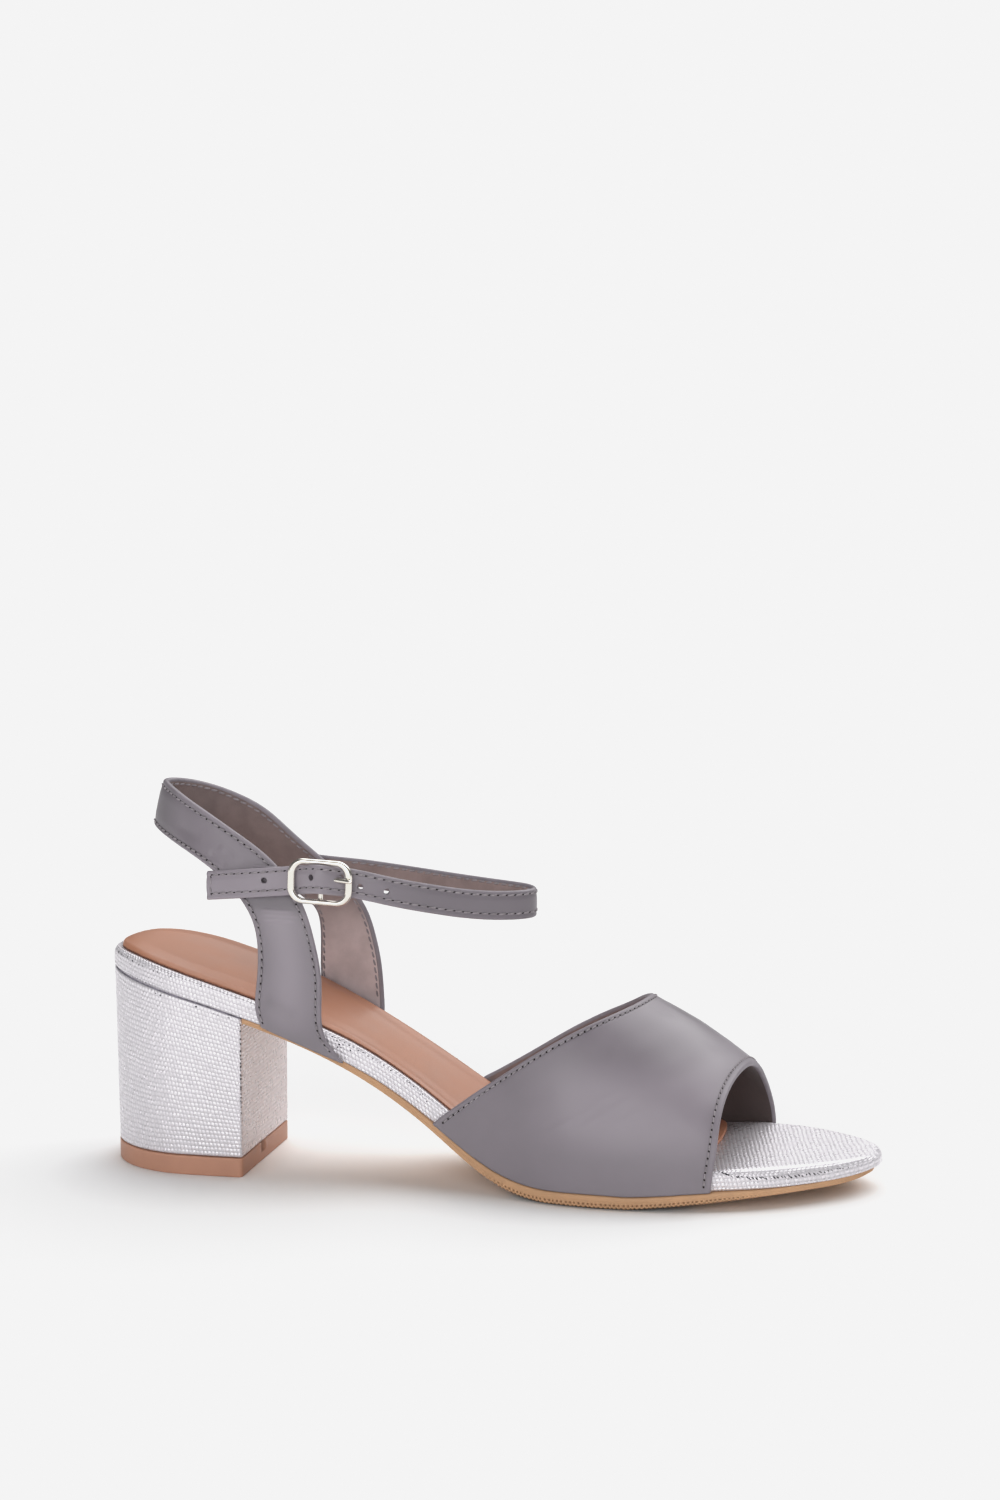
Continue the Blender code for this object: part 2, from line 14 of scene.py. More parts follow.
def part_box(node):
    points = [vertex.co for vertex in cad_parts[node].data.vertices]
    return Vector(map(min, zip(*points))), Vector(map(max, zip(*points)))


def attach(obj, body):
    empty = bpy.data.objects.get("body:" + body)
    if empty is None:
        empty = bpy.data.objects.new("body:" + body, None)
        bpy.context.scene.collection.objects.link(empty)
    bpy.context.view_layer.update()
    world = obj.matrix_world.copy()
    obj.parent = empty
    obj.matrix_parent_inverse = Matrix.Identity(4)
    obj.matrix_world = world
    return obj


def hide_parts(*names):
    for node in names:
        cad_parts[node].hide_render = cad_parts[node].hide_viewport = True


bl_info = {
    "name": "Heeled Sandal",
    "version": (1, 0, 0),
    "blender": (4, 5, 0),
    "location": "View3D > Sidebar > Sandal",
    "description": "Builds a block-heel sandal's pieces, finishes and stage on its packed frame",
    "category": "Add Mesh",
}

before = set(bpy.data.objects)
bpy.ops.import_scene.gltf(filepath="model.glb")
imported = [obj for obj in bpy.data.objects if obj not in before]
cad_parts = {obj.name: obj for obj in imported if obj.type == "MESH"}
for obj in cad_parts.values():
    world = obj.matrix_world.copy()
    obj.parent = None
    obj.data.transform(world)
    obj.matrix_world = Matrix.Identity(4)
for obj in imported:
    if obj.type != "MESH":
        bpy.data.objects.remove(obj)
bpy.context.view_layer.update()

MM = 0.001
GAP = 0.3  # clearance between pieces that meet
BODY = "root"

# Sizes of the last and the sole
SHOE_LENGTH = 236.0
HEEL_ROUND = 30.0
TOE_ROUND = 71.0
HEEL_BREAST = 47.2
HEEL_BLOCK_ROUND = 27.0
HEEL_SEAT_BACK = 1.2
HEEL_SETBACK = 2.2
HEEL_CORNER = 1.1
HEEL_INSET = (0.4, 0.3)  # at the foot, and at the seat
TIP_HEIGHT = 5.8
TIP_INSET = 0.2
OUTSOLE_INSET = 0.2
TOE_SETBACK = 2.7
FOOTBED_CORNER = (1.6, 2.8)  # along the sides, and round the toe
EDGE_ROLL = (1.7, 4.6)  # at the heel, and at the toe
BLUNT_END = 0.2
SOCK_BACK = 3.5
SOCK_SETBACK = 1.0
SOCK_FRONT = 186.7
SOCK_FRONT_ROUND = 5.0
SOCK_INSET = 1.6
SOCK_PAD = 1.3
SOCK_PAD_END = (58.0, 96.0)  # x over which the pad under the heel thins out
VAMP_FOOT = (105.5, 191.6)  # x of the throat edge and of the toe edge at the sole
BUCKLE_CENTRE = np.array((73.0, -30.2, 92.2))
CENTRE_BAR_SINK = 1.3
BUCKLE_TILT = math.radians(2.0)
PRONG_TIP = np.array((83.4, -32.6, 93.1))


def spline(knots, values):
    """The smooth curve through the values at the knots, as a function of an array."""
    knots, values = np.array(knots, float), np.array(values, float)
    step = np.diff(knots)
    slope = np.diff(values) / step
    system, change = np.eye(len(knots)), np.zeros(len(knots))
    for i in range(1, len(knots) - 1):
        system[i, i - 1 : i + 2] = step[i - 1], 2 * (step[i - 1] + step[i]), step[i]
        change[i] = 6 * (slope[i] - slope[i - 1])
    bend = np.linalg.solve(system, change)

    def value(x):
        x = np.asarray(x, float)
        i = np.clip(np.searchsorted(knots, x) - 1, 0, len(step) - 1)
        after, before, h = x - knots[i], knots[i + 1] - x, step[i]
        cubic = (bend[i] * before**3 + bend[i + 1] * after**3) / (6 * h)
        left = (values[i] / h - bend[i] * h / 6) * before
        return cubic + left + (values[i + 1] / h - bend[i + 1] * h / 6) * after

    return value


def columns(names, *rows):
    """A table's columns, each as a smooth function of the first one."""
    table = np.array(rows, float)
    return {name: spline(table[:, 0], table[:, i + 1]) for i, name in enumerate(names.split())}


# Outline of the sole from above
OUTLINE = columns(
    "centre half",
    # x, centre line, half width before the ends are rounded
    (0, -0.4, 25.7),
    (30, -0.4, 25.9),
    (45, -0.5, 25.7),
    (60, -0.8, 24.3),
    (80, -1.9, 21.2),
    (100, -1.8, 21.7),
    (120, -1.4, 26.6),
    (140, -2.0, 33.2),
    (155, -1.3, 36.6),
    (170, -0.3, 37.5),
    (200, 2.0, 36.8),
    (215, 3.9, 35.9),
    (236, 6.2, 31.0),
)

# Side profile of the sole: underside of the outsole, then the thickness of each layer
PROFILE = columns(
    "tread outsole footbed inset cup",
    # x, tread height, outsole, footbed, footbed inset from the outline, dish of its top
    (0, 58.4, 1.8, 5.9, 0.9, 1.2),
    (10, 56.8, 1.8, 6.8, 0.7, 1.4),
    (20, 54.7, 1.8, 7.1, 0.4, 1.6),
    (34, 51.1, 1.8, 6.9, 0.1, 1.8),
    (48, 46.9, 1.8, 6.8, 0.0, 1.8),
    (62, 41.8, 1.9, 6.8, 0.0, 1.8),
    (78, 34.3, 2.4, 7.3, 0.0, 1.8),
    (92, 26.0, 3.1, 7.2, 0.2, 1.7),
    (105, 17.0, 3.2, 7.4, 0.9, 1.5),
    (116, 8.9, 3.7, 7.1, 1.8, 1.3),
    (126, 3.3, 4.1, 6.5, 2.3, 1.1),
    (136, 0.6, 4.3, 5.9, 2.4, 0.9),
    (147, -0.2, 4.3, 5.5, 2.4, 0.7),
    (160, -0.3, 4.3, 5.4, 2.4, 0.5),
    (173, 0.5, 4.0, 5.6, 2.4, 0.4),
    (190, 2.3, 3.4, 6.0, 2.0, 0.3),
    (205, 3.9, 2.35, 6.05, 1.0, 0.2),
    (220, 4.6, 2.1, 5.4, 0.7, 0.1),
    (230, 5.2, 2.0, 4.7, 0.7, 0.1),
    (236, 6.8, 1.3, 3.3, 0.7, 0.1),
)

# The last over the vamp: height and place of its top line
INSTEP = columns(
    "height centre",
    # x, height of the ridge, y of the ridge
    (105, 92.0, -2.0),
    (120, 84.0, -2.0),
    (135, 75.6, -1.5),
    (150, 66.6, -1.0),
    (165, 56.8, 0.0),
    (180, 48.4, 0.5),
    (190, 41.2, 1.0),
    (200, 32.6, 1.5),
)

# Front and back edge of the vamp, by the angle round the last from the outer to the inner side
VAMP_EDGES = columns(
    "throat toe",
    # angle, x of the throat edge, x of the toe edge
    (0, 110.1, 192.2),
    (12, 119.7, 193.0),
    (26, 132.5, 193.3),
    (42, 146.7, 193.6),
    (60, 158.0, 194.4),
    (75, 163.4, 195.2),
    (90, 165.5, 195.8),
    (105, 164.6, 196.1),
    (120, 160.4, 196.3),
    (138, 150.9, 196.6),
    (154, 135.5, 197.2),
    (168, 121.2, 197.8),
    (180, 110.0, 198.2),
)

# The heel sling, from the outer sole round the back of the ankle to the inner sole
SLING = (
    # x, y, z of the lower, back edge, then of the upper, front edge
    (53.6, -26.9, 47.0, 78.4, -24.8, 37.0),
    (52.0, -26.9, 52.5, 73.4, -25.4, 43.5),
    (52.4, -26.9, 60.0, 72.0, -25.7, 52.0),
    (52.8, -26.6, 68.5, 72.0, -25.6, 62.0),
    (52.0, -26.2, 75.5, 70.2, -25.2, 72.0),
    (50.2, -25.8, 80.4, 67.4, -24.2, 80.8),
    (46.8, -25.0, 85.3, 62.6, -22.8, 89.2),
    (42.0, -24.0, 90.0, 55.4, -21.4, 96.8),
    (34.5, -21.4, 94.7, 46.0, -19.8, 103.1),
    (27.0, -16.2, 97.6, 36.0, -17.6, 108.7),
    (19.0, -8.4, 99.9, 25.5, -11.6, 113.2),
    (15.4, -4.0, 101.0, 19.4, -4.8, 115.1),
    (13.8, 0.0, 101.5, 17.0, 0.4, 115.6),
    (15.4, 4.0, 101.2, 18.9, 6.0, 115.0),
    (19.0, 8.4, 100.2, 24.0, 13.6, 112.8),
    (27.0, 16.2, 98.0, 33.6, 18.2, 108.8),
    (34.1, 20.6, 93.6, 42.5, 19.4, 103.9),
    (40.3, 22.4, 88.2, 50.5, 20.1, 97.0),
    (45.9, 23.2, 82.8, 59.2, 20.8, 89.6),
    (51.0, 23.8, 77.6, 66.8, 21.6, 82.4),
    (56.4, 24.2, 73.0, 72.6, 21.9, 75.0),
    (58.0, 24.6, 65.0, 76.0, 21.8, 66.0),
    (57.9, 24.8, 56.0, 78.0, 21.4, 56.5),
    (58.2, 25.0, 47.0, 79.0, 21.0, 44.0),
)

# The ankle strap, from its seam on the inner side of the sling round the front to its free end
ANKLE = (
    # x, y, z of the middle
    (48.0, 24.4, 85.6),
    (56.0, 23.5, 85.5),
    (63.0, 22.8, 85.2),
    (71.0, 22.6, 84.8),
    (80.0, 21.8, 84.2),
    (92.0, 19.4, 83.5),
    (104.0, 16.0, 83.0),
    (114.5, 12.4, 82.8),
    (123.0, 8.6, 82.9),
    (128.8, 4.4, 83.0),
    (130.6, -0.4, 83.1),
    (128.6, -5.2, 83.3),
    (123.6, -9.4, 83.6),
    (115.6, -13.8, 84.4),
    (104.0, -20.2, 86.8),
    (94.0, -24.8, 89.2),
    (87.0, -27.2, 91.0),
    (81.9, -27.8, 91.9),
    (77.4, -29.7, 92.7),
    (73.0, -31.7, 93.4),
    (68.6, -29.7, 92.8),
    (64.1, -27.8, 91.9),
    (56.5, -27.5, 91.0),
    (47.0, -26.4, 89.8),
    (36.6, -23.0, 88.2),
)

# Punched holes of the ankle strap: x and z of the middle, on the outer side
STRAP_HOLES = ((55.4, 91.6), (71.2, 93.9), (84.7, 91.0), (92.1, 89.6))
PIN_HOLE = (78.9, 93.4)

# Soft creases, drawn in side view on the outer side: x and z of both ends, depth and half width
VAMP_CREASES = (
    (140.0, 22.0, 158.0, 31.0, 0.13, 1.0),
    (144.0, 23.0, 163.0, 34.0, -0.13, 1.0),
    (148.0, 22.5, 167.0, 35.0, 0.13, 1.0),
    (152.0, 23.0, 170.0, 34.5, -0.11, 1.0),
    (156.0, 22.5, 172.0, 32.5, 0.10, 1.0),
    (126.0, 14.0, 160.0, 19.5, 0.12, 2.8),
    (166.0, 11.5, 188.0, 22.0, 0.12, 3.0),
    (176.0, 38.0, 187.0, 20.0, -0.12, 2.8),
)
SLING_CREASES = (
    (52.6, 82.0, 64.5, 81.6, -0.22, 0.5),
    (53.0, 80.7, 66.0, 80.3, -0.20, 0.5),
    (53.5, 79.2, 65.0, 79.0, -0.16, 0.55),
    (36.0, 97.6, 43.0, 93.8, 0.30, 1.0),
    (39.0, 99.6, 47.0, 94.6, -0.24, 1.2),
    (33.0, 97.0, 45.0, 97.4, 0.16, 1.4),
    (24.0, 104.0, 34.0, 101.0, 0.16, 1.8),
    (54.0, 56.0, 66.0, 50.0, 0.14, 2.4),
)


# Shape of the sole and the last


def outsole_top(x):
    """Height of the outsole's top."""
    return np.maximum(PROFILE["tread"](x), 0.0) + PROFILE["outsole"](x)


def bed_edge(x):
    """Height of the footbed's top at its edge."""
    return outsole_top(x) + PROFILE["footbed"](x)


def half_width(x, inset):
    """Half the sole's width at x, with the outline drawn in by inset all round."""
    heel = np.clip((x - inset) / HEEL_ROUND, 0.0, 1.0)
    toe = np.clip((SHOE_LENGTH - inset - x) / TOE_ROUND, 0.0, 1.0)
    return (OUTLINE["half"](x) - inset) * np.sqrt(heel * (2 - heel) * toe * (2 - toe))


def sole_edges(x, inset):
    """The outer and inner y of the outline at x."""
    centre, half = OUTLINE["centre"](x), half_width(x, inset)
    return centre - half, centre + half


def bed(x, y):
    """Height of the footbed's dished top."""
    across = (y - OUTLINE["centre"](x)) / np.maximum(half_width(x, PROFILE["inset"](x)), 1.0)
    return bed_edge(x) - PROFILE["cup"](x) * (1 - np.minimum(np.abs(across), 1.0) ** 3)


def roll_off(x):
    """How far the footbed's top has rolled down near its two ends."""
    end = np.minimum(x - PROFILE["inset"](0.0), SHOE_LENGTH - PROFILE["inset"](SHOE_LENGTH) - x)
    radius = np.minimum(np.where(x < SHOE_LENGTH / 2, *EDGE_ROLL), 0.75 * PROFILE["footbed"](x))
    near = np.clip(1 - end / radius, 0.0, 1.0)
    return radius * (1 - np.sqrt(1 - near * near))


def bed_corner(x):
    """Rounding of the footbed's top edges, larger round the toe."""
    return FOOTBED_CORNER[0] + (FOOTBED_CORNER[1] - FOOTBED_CORNER[0]) * smooth(191.0, 204.0, x)


def last_origin():
    """Where the last's frame lies in the row frame, in metres: its footprint's middle is on the origin."""
    x = np.linspace(120.0, 220.0, 400)
    outer, inner = sole_edges(x, OUTSOLE_INSET)
    tip = SHOE_LENGTH - OUTSOLE_INSET - BLUNT_END
    middle_y = (outer.min() + inner.max()) / 2
    return np.array((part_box("outsole")[1].x - tip * MM, -middle_y * MM, 0.0))


LAST_ORIGIN = last_origin()


def eased(share):
    """A share of a rounded end, closer together towards its tip."""
    return 1 - np.cos(np.pi / 2 * share)


END_ROWS = 48
LEAST_STEP = 0.04


def stations(start, end, step, rounded):
    """Places between start and end, step apart, and closer at the rounded ends given as (tip, length)."""
    places = [np.arange(start, end, step), [start, end]]
    for tip, length in rounded:
        places.append(tip + length * eased(np.arange(1, END_ROWS) / END_ROWS))
    x = np.unique(np.round(np.concatenate(places), 3))
    x = x[(x >= start) & (x <= end)]
    keep = np.concatenate([[True], np.diff(x) > LEAST_STEP])
    return x[keep]


def smooth(low, high, value):
    """A soft step from 0 at low to 1 at high."""
    share = np.clip((value - low) / (high - low), 0.0, 1.0)
    return share * share * (3 - 2 * share)


def arc_length(points):
    """Length along each line of points, from its first one."""
    steps = np.linalg.norm(np.diff(points, axis=0), axis=-1)
    return np.concatenate([np.zeros((1, *steps.shape[1:])), np.cumsum(steps, axis=0)])


def unit(vectors):
    """Vectors of length 1."""
    return vectors / np.maximum(np.linalg.norm(vectors, axis=-1, keepdims=True), 1e-9)


def crease_relief(points, creases):
    """Height of listed creases at points, each a soft trough or ridge along a side-view line."""
    relief = np.zeros(points.shape[:-1])
    for x0, z0, x1, z1, depth, width in creases:
        start, run = np.array((x0, z0)), np.array((x1 - x0, z1 - z0))
        flat = points[..., [0, 2]] - start
        share = np.clip(flat @ run / (run @ run), 0.0, 1.0)
        away = np.linalg.norm(flat - share[..., None] * run, axis=-1)
        taper = smooth(0.0, 0.25, share) * smooth(0.0, 0.25, 1 - share)
        relief -= depth * taper * np.exp(-((away / width) ** 2))
    return relief


# Mesh making


def lattice(points, caps=True):
    """Faces of a lattice of closed rings, capped at both ends, and row and column of each quad's corners."""
    rows, around = points.shape[:2]
    row, column = np.meshgrid(np.arange(rows - 1), np.arange(around), indexing="ij")
    beside = (column + 1) % around
    first, second = row * around, (row + 1) * around
    quads = np.stack([first + column, first + beside, second + beside, second + column], axis=-1)
    steps = ((0, 0), (0, 1), (1, 1), (1, 0))
    corners = np.stack([np.stack([row + down, column + along], -1) for down, along in steps], axis=-2)
    faces = quads.reshape(-1, 4).tolist()
    if caps:
        faces.append(list(range(around))[::-1])
        faces.append(list(range((rows - 1) * around, rows * around)))
    return faces, corners.reshape(-1, 4, 2)


def inside_out(points, faces):
    """Whether a closed mesh's faces point inwards."""
    volume = 0.0
    middle = points.mean(axis=0)
    quads = np.array([face for face in faces if len(face) == 4])
    for first, second, third in ((0, 1, 2), (0, 2, 3)):
        a, b, c = (points[quads[:, i]] - middle for i in (first, second, third))
        volume += np.einsum("ij,ij->i", a, np.cross(b, c)).sum()
    return volume < 0


def facing_out(points, faces):
    """A closed mesh's faces, turned to point outwards."""
    return [face[::-1] for face in faces] if inside_out(points, faces) else faces


def joined(parts):
    """Several meshes, each as points and faces, as one."""
    points, faces, start = [], [], 0
    for spots, made in parts:
        points.append(spots)
        faces += [[start + i for i in face] for face in made]
        start += len(spots)
    return np.concatenate(points), faces


def shell(rings):
    """A closed shell of rings as points and faces."""
    points = rings.reshape(-1, 3)
    return points, facing_out(points, lattice(rings)[0])


def add_piece(name, points, faces, finishes, slot, face_finish=None, marks=None, surface=None):
    """A smooth piece from points in millimetres of the last's frame, riding on the shoe."""
    data = bpy.data.meshes.new(name)
    data.from_pydata((points * MM + LAST_ORIGIN).tolist(), [], faces)
    data.shade_smooth()
    for material in finishes:
        data.materials.append(material)
    if face_finish is not None:
        data.polygons.foreach_set("material_index", np.asarray(face_finish, np.int32))
    for mark, values in (marks or {}).items():
        attribute = data.attributes.new(mark, "FLOAT", "POINT")
        attribute.data.foreach_set("value", np.asarray(values, np.float32).ravel())
    if surface is not None:
        layer = data.uv_layers.new(name="Surface", do_init=False)
        loose = np.zeros((len(data.loops), 2), np.float32)
        loose[: len(surface)] = surface
        layer.uv.foreach_set("vector", loose.ravel())
    piece = bpy.data.objects.new(name, data)
    bpy.context.scene.collection.objects.link(piece)
    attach(piece, BODY)
    return piece


def add_rings(name, rings, finishes, slot, strips=None, marks=None, along=None, upright=False):
    """A piece lofted through closed rings; strips gives the finish of each strip of faces, by row or column.

    Where along gives each ring's place, the piece gets a surface map in millimetres.
    """
    points = rings.reshape(-1, 3)
    faces, corners = lattice(rings)
    rows, columns_round = rings.shape[:2]
    surface = None
    if along is not None:
        around = arc_length(np.concatenate([rings, rings[:, :1]], axis=1).transpose(1, 0, 2)).T
        lengths = np.broadcast_to(along[:, None], around.shape)
        where = corners[..., 0], corners[..., 1]
        surface = np.stack([lengths[where], around[where]], axis=-1).reshape(-1, 2)
        surface = surface[:, ::-1] if upright else surface
    if inside_out(points, faces):
        faces = [face[::-1] for face in faces]
        if surface is not None:
            surface = surface.reshape(-1, 4, 2)[:, ::-1].reshape(-1, 2)
    face_finish = None
    if strips is not None:
        face_finish = np.concatenate([np.broadcast_to(strips, (rows - 1, columns_round)).ravel(), [0, 0]])
    return add_piece(name, points, faces, finishes, slot, face_finish, marks, surface)


def tube(path, radius, sides, up=(0.0, 0.0, 1.0)):
    """Rings of a round bar along a path, with a radius for each of its points."""
    path = np.asarray(path, float)
    run = unit(np.gradient(path, axis=0))
    side = unit(np.cross(run, np.asarray(up, float)))
    top = np.cross(side, run)
    turn = np.linspace(0, 2 * np.pi, sides, endpoint=False)
    ring = np.cos(turn)[:, None, None] * side + np.sin(turn)[:, None, None] * top
    return path[:, None] + (ring * np.asarray(radius, float)[None, :, None]).transpose(1, 0, 2)


# Shader helpers


def place(tree, kind, inputs=None, **settings):
    """A node with its settings; inputs are linked where a socket is given, and set where a value is."""
    node = tree.nodes.new(kind)
    for name, value in settings.items():
        setattr(node, name, value)
    for name, value in (inputs or {}).items():
        if isinstance(value, bpy.types.NodeSocket):
            tree.links.new(value, node.inputs[name])
        else:
            node.inputs[name].default_value = value
    return node


def math_node(tree, operation, *values):
    """A Math node's result."""
    return place(tree, "ShaderNodeMath", dict(enumerate(values)), operation=operation).outputs[0]


def mix_colour(tree, factor, first, second):
    """Two colours mixed by a factor."""
    inputs = {0: factor, 6: first, 7: second}
    return place(tree, "ShaderNodeMix", inputs, data_type="RGBA").outputs[2]


def map_range(tree, value, low, high, to_low, to_high):
    """A value carried softly from one range to another."""
    inputs = {"Value": value, "From Min": low, "From Max": high, "To Min": to_low, "To Max": to_high}
    return place(tree, "ShaderNodeMapRange", inputs, interpolation_type="SMOOTHSTEP").outputs["Result"]


def new_group(name, inputs, outputs):
    """An empty shader group with its named sockets, and the nodes that hold them."""
    tree = bpy.data.node_groups.new(name, "ShaderNodeTree")
    for label, default in inputs.items():
        socket = tree.interface.new_socket(name=label, in_out="INPUT", socket_type="NodeSocketFloat")
        socket.default_value = default
    for label in outputs:
        tree.interface.new_socket(name=label, in_out="OUTPUT", socket_type="NodeSocketFloat")
    return tree, tree.nodes.new("NodeGroupInput").outputs, tree.nodes.new("NodeGroupOutput").inputs


def skin_grain(name):
    """Fine skin grain and slow mottling, in the piece's own place."""
    inputs = {"Grain Scale": 2600.0, "Mottle Scale": 60.0}
    tree, given, out = new_group(name, inputs, ("Height", "Mottle"))
    where = place(tree, "ShaderNodeTexCoord").outputs["Object"]
    pores = place(tree, "ShaderNodeTexVoronoi", {"Vector": where, "Scale": given["Grain Scale"]})
    fine = place(tree, "ShaderNodeTexNoise", {"Vector": where, "Scale": given["Grain Scale"], "Detail": 3.0})
    inputs = {"Vector": where, "Scale": given["Mottle Scale"], "Detail": 4.0, "Roughness": 0.55}
    slow = place(tree, "ShaderNodeTexNoise", inputs)
    height = math_node(tree, "MULTIPLY_ADD", pores.outputs["Distance"], 0.6, fine.outputs["Fac"])
    tree.links.new(height, out["Height"])
    tree.links.new(map_range(tree, slow.outputs["Fac"], 0.3, 0.7, 0.0, 1.0), out["Mottle"])
    return tree


def rim_wear(name):
    """Rubbed edges: the piece's rim mark, broken up by noise."""
    tree, given, out = new_group(name, {"Scale": 300.0}, ("Mask",))
    rim = place(tree, "ShaderNodeAttribute", attribute_name="rim").outputs["Fac"]
    where = place(tree, "ShaderNodeTexCoord").outputs["Object"]
    noise = place(tree, "ShaderNodeTexNoise", {"Vector": where, "Scale": given["Scale"], "Detail": 3.0})
    broken = map_range(tree, noise.outputs["Fac"], 0.35, 0.65, 0.35, 1.0)
    tree.links.new(math_node(tree, "MULTIPLY", rim, broken), out["Mask"])
    return tree


def faded_places(name):
    """Painted light and shade, from the piece's own tone mark: lighter above nought, darker below."""
    tree, _, out = new_group(name, {}, ("Pale", "Dark"))
    tone = place(tree, "ShaderNodeAttribute", attribute_name="tone").outputs["Fac"]
    tree.links.new(place(tree, "ShaderNodeClamp", {"Value": tone}).outputs[0], out["Pale"])
    below = math_node(tree, "MULTIPLY", tone, -1.0)
    tree.links.new(place(tree, "ShaderNodeClamp", {"Value": below}).outputs[0], out["Dark"])
    return tree


CELL_SQUARENESS = 2.4  # 2 would be an oval cell
ROW_SHIFT = 0.27  # of a cell's width, from one row to the next


def embossed_cells(name):
    """Rows of small raised cells over the piece's surface map, in millimetres."""
    inputs = {"Cell Width": 1.18, "Cell Height": 1.35}
    tree, given, out = new_group(name, inputs, ("Height", "Line", "Glint"))
    where = place(tree, "ShaderNodeUVMap", uv_map="Surface").outputs["UV"]
    sway = place(tree, "ShaderNodeTexNoise", {"Vector": where, "Scale": 0.12, "Detail": 3.0})
    drift = math_node(tree, "MULTIPLY", sway.outputs["Fac"], 0.8)
    split = place(tree, "ShaderNodeSeparateXYZ", {"Vector": where})
    up = math_node(tree, "ADD", split.outputs["Y"], drift)
    row = math_node(tree, "DIVIDE", up, given["Cell Height"])
    row_number = math_node(tree, "FLOOR", row)
    across = math_node(tree, "ADD", split.outputs["X"], drift)
    column = math_node(tree, "DIVIDE", across, given["Cell Width"])
    column = math_node(tree, "MULTIPLY_ADD", row_number, ROW_SHIFT, column)
    column_number = math_node(tree, "FLOOR", column)
    powers = []
    for place_in_cell in (column, row):
        from_centre = math_node(tree, "SUBTRACT", math_node(tree, "FRACT", place_in_cell), 0.5)
        distance = math_node(tree, "ABSOLUTE", from_centre)
        powers.append(math_node(tree, "POWER", distance, CELL_SQUARENESS))
    from_middle = math_node(tree, "POWER", math_node(tree, "ADD", *powers), 1 / CELL_SQUARENESS)
    cell = place(tree, "ShaderNodeCombineXYZ", {"X": column_number, "Y": row_number})
    chance = place(tree, "ShaderNodeTexWhiteNoise", {"Vector": cell.outputs[0]}, noise_dimensions="2D")
    dome = map_range(tree, from_middle, 0.08, 0.56, 1.0, 0.0)
    lift = map_range(tree, chance.outputs["Value"], 0.0, 1.0, 0.55, 1.0)
    tree.links.new(math_node(tree, "MULTIPLY", dome, lift), out["Height"])
    tree.links.new(map_range(tree, from_middle, 0.30, 0.56, 0.0, 1.0), out["Line"])
    tree.links.new(chance.outputs["Value"], out["Glint"])
    return tree


def use_group(tree, build, **inputs):
    """Outputs of the group that a function builds once, placed in a material with its own values."""
    node = tree.nodes.new("ShaderNodeGroup")
    node.node_tree = bpy.data.node_groups.get(build.__name__) or build(build.__name__)
    for name, value in inputs.items():
        node.inputs[name.replace("_", " ").title()].default_value = value
    return node.outputs


def new_finish(name, **values):
    """A material's tree and its shader, with plain values set on the shader."""
    material = bpy.data.materials.new(name)
    material.use_nodes = True
    shader = material.node_tree.nodes["Principled BSDF"]
    for label, value in values.items():
        shader.inputs[label.replace("_", " ").title().replace("Ior", "IOR")].default_value = value
    return material, material.node_tree, shader.inputs


def bump(tree, height, distance, strength):
    """The normal of a surface raised by a height of 0 to 1 over a distance in metres."""
    inputs = {"Height": height, "Distance": distance, "Strength": strength}
    return place(tree, "ShaderNodeBump", inputs).outputs["Normal"]


def shade(base, factor):
    """A lighter or darker base colour, as a node's value."""
    return (*(min(max(part * factor, 0.0), 1.0) for part in base), 1.0)


def finish(build):
    """The material that a function builds, made the first time that it is asked for."""
    return bpy.data.materials.get(build.__name__) or build(build.__name__)


def colours():
    """The base colours in use."""
    return bpy.context.scene.sandal_colours


def grained(name, scales, gloss, relief=None, **values):
    """A grained material: scales of grain and mottling, range of roughness, distance and strength of bump."""
    material, tree, shader = new_finish(name, **values)
    grain = use_group(tree, skin_grain, grain_scale=scales[0], mottle_scale=scales[1])
    tree.links.new(map_range(tree, grain["Mottle"], 0.0, 1.0, *gloss), shader["Roughness"])
    if relief is not None:
        tree.links.new(bump(tree, grain["Height"], *relief), shader["Normal"])
    return material, tree, shader, grain


def mottled(tree, grain, base, low, high):
    """A colour that wanders between two shades of its base."""
    return mix_colour(tree, grain["Mottle"], shade(base, low), shade(base, high))


def plain_finish(name, base, tones, *look, **values):
    """A grained material of one mottled colour."""
    material, tree, shader, grain = grained(name, *look, **values)
    tree.links.new(mottled(tree, grain, base, *tones), shader["Base Color"])
    return material


def satin_leather(name, roughness=0.4):
    """Smooth satin faux leather, a little mottled, lightened and darkened in places by painted light and
    shade, and paler where its edges are rubbed.
    """
    base = colours().leather
    gloss = roughness - 0.05, roughness + 0.06
    values = {"coat_roughness": 0.32, "specular_ior_level": 0.4}
    material, tree, shader, grain = grained(name, (2400.0, 45.0), gloss, (0.00003, 0.5), **values)
    wear = use_group(tree, rim_wear, scale=420.0)
    # painted light where the tone mark is above nought, painted shade where it is below
    painted_tone = use_group(tree, faded_places)
    lightened = mix_colour(tree, painted_tone["Pale"], mottled(tree, grain, base, 0.95, 1.05), shade(base, 1.4))
    darkened = mix_colour(tree, painted_tone["Dark"], lightened, shade(base, 0.55))
    rubbed = math_node(tree, "MULTIPLY", wear["Mask"], 0.45)
    tree.links.new(mix_colour(tree, rubbed, darkened, shade(base, 1.55)), shader["Base Color"])
    tree.links.new(map_range(tree, grain["Mottle"], 0.0, 1.0, 0.2, 0.1), shader["Coat Weight"])
    return material


def leather_edge(name):
    """The folded and painted edge of the leather."""
    return satin_leather(name, 0.5)


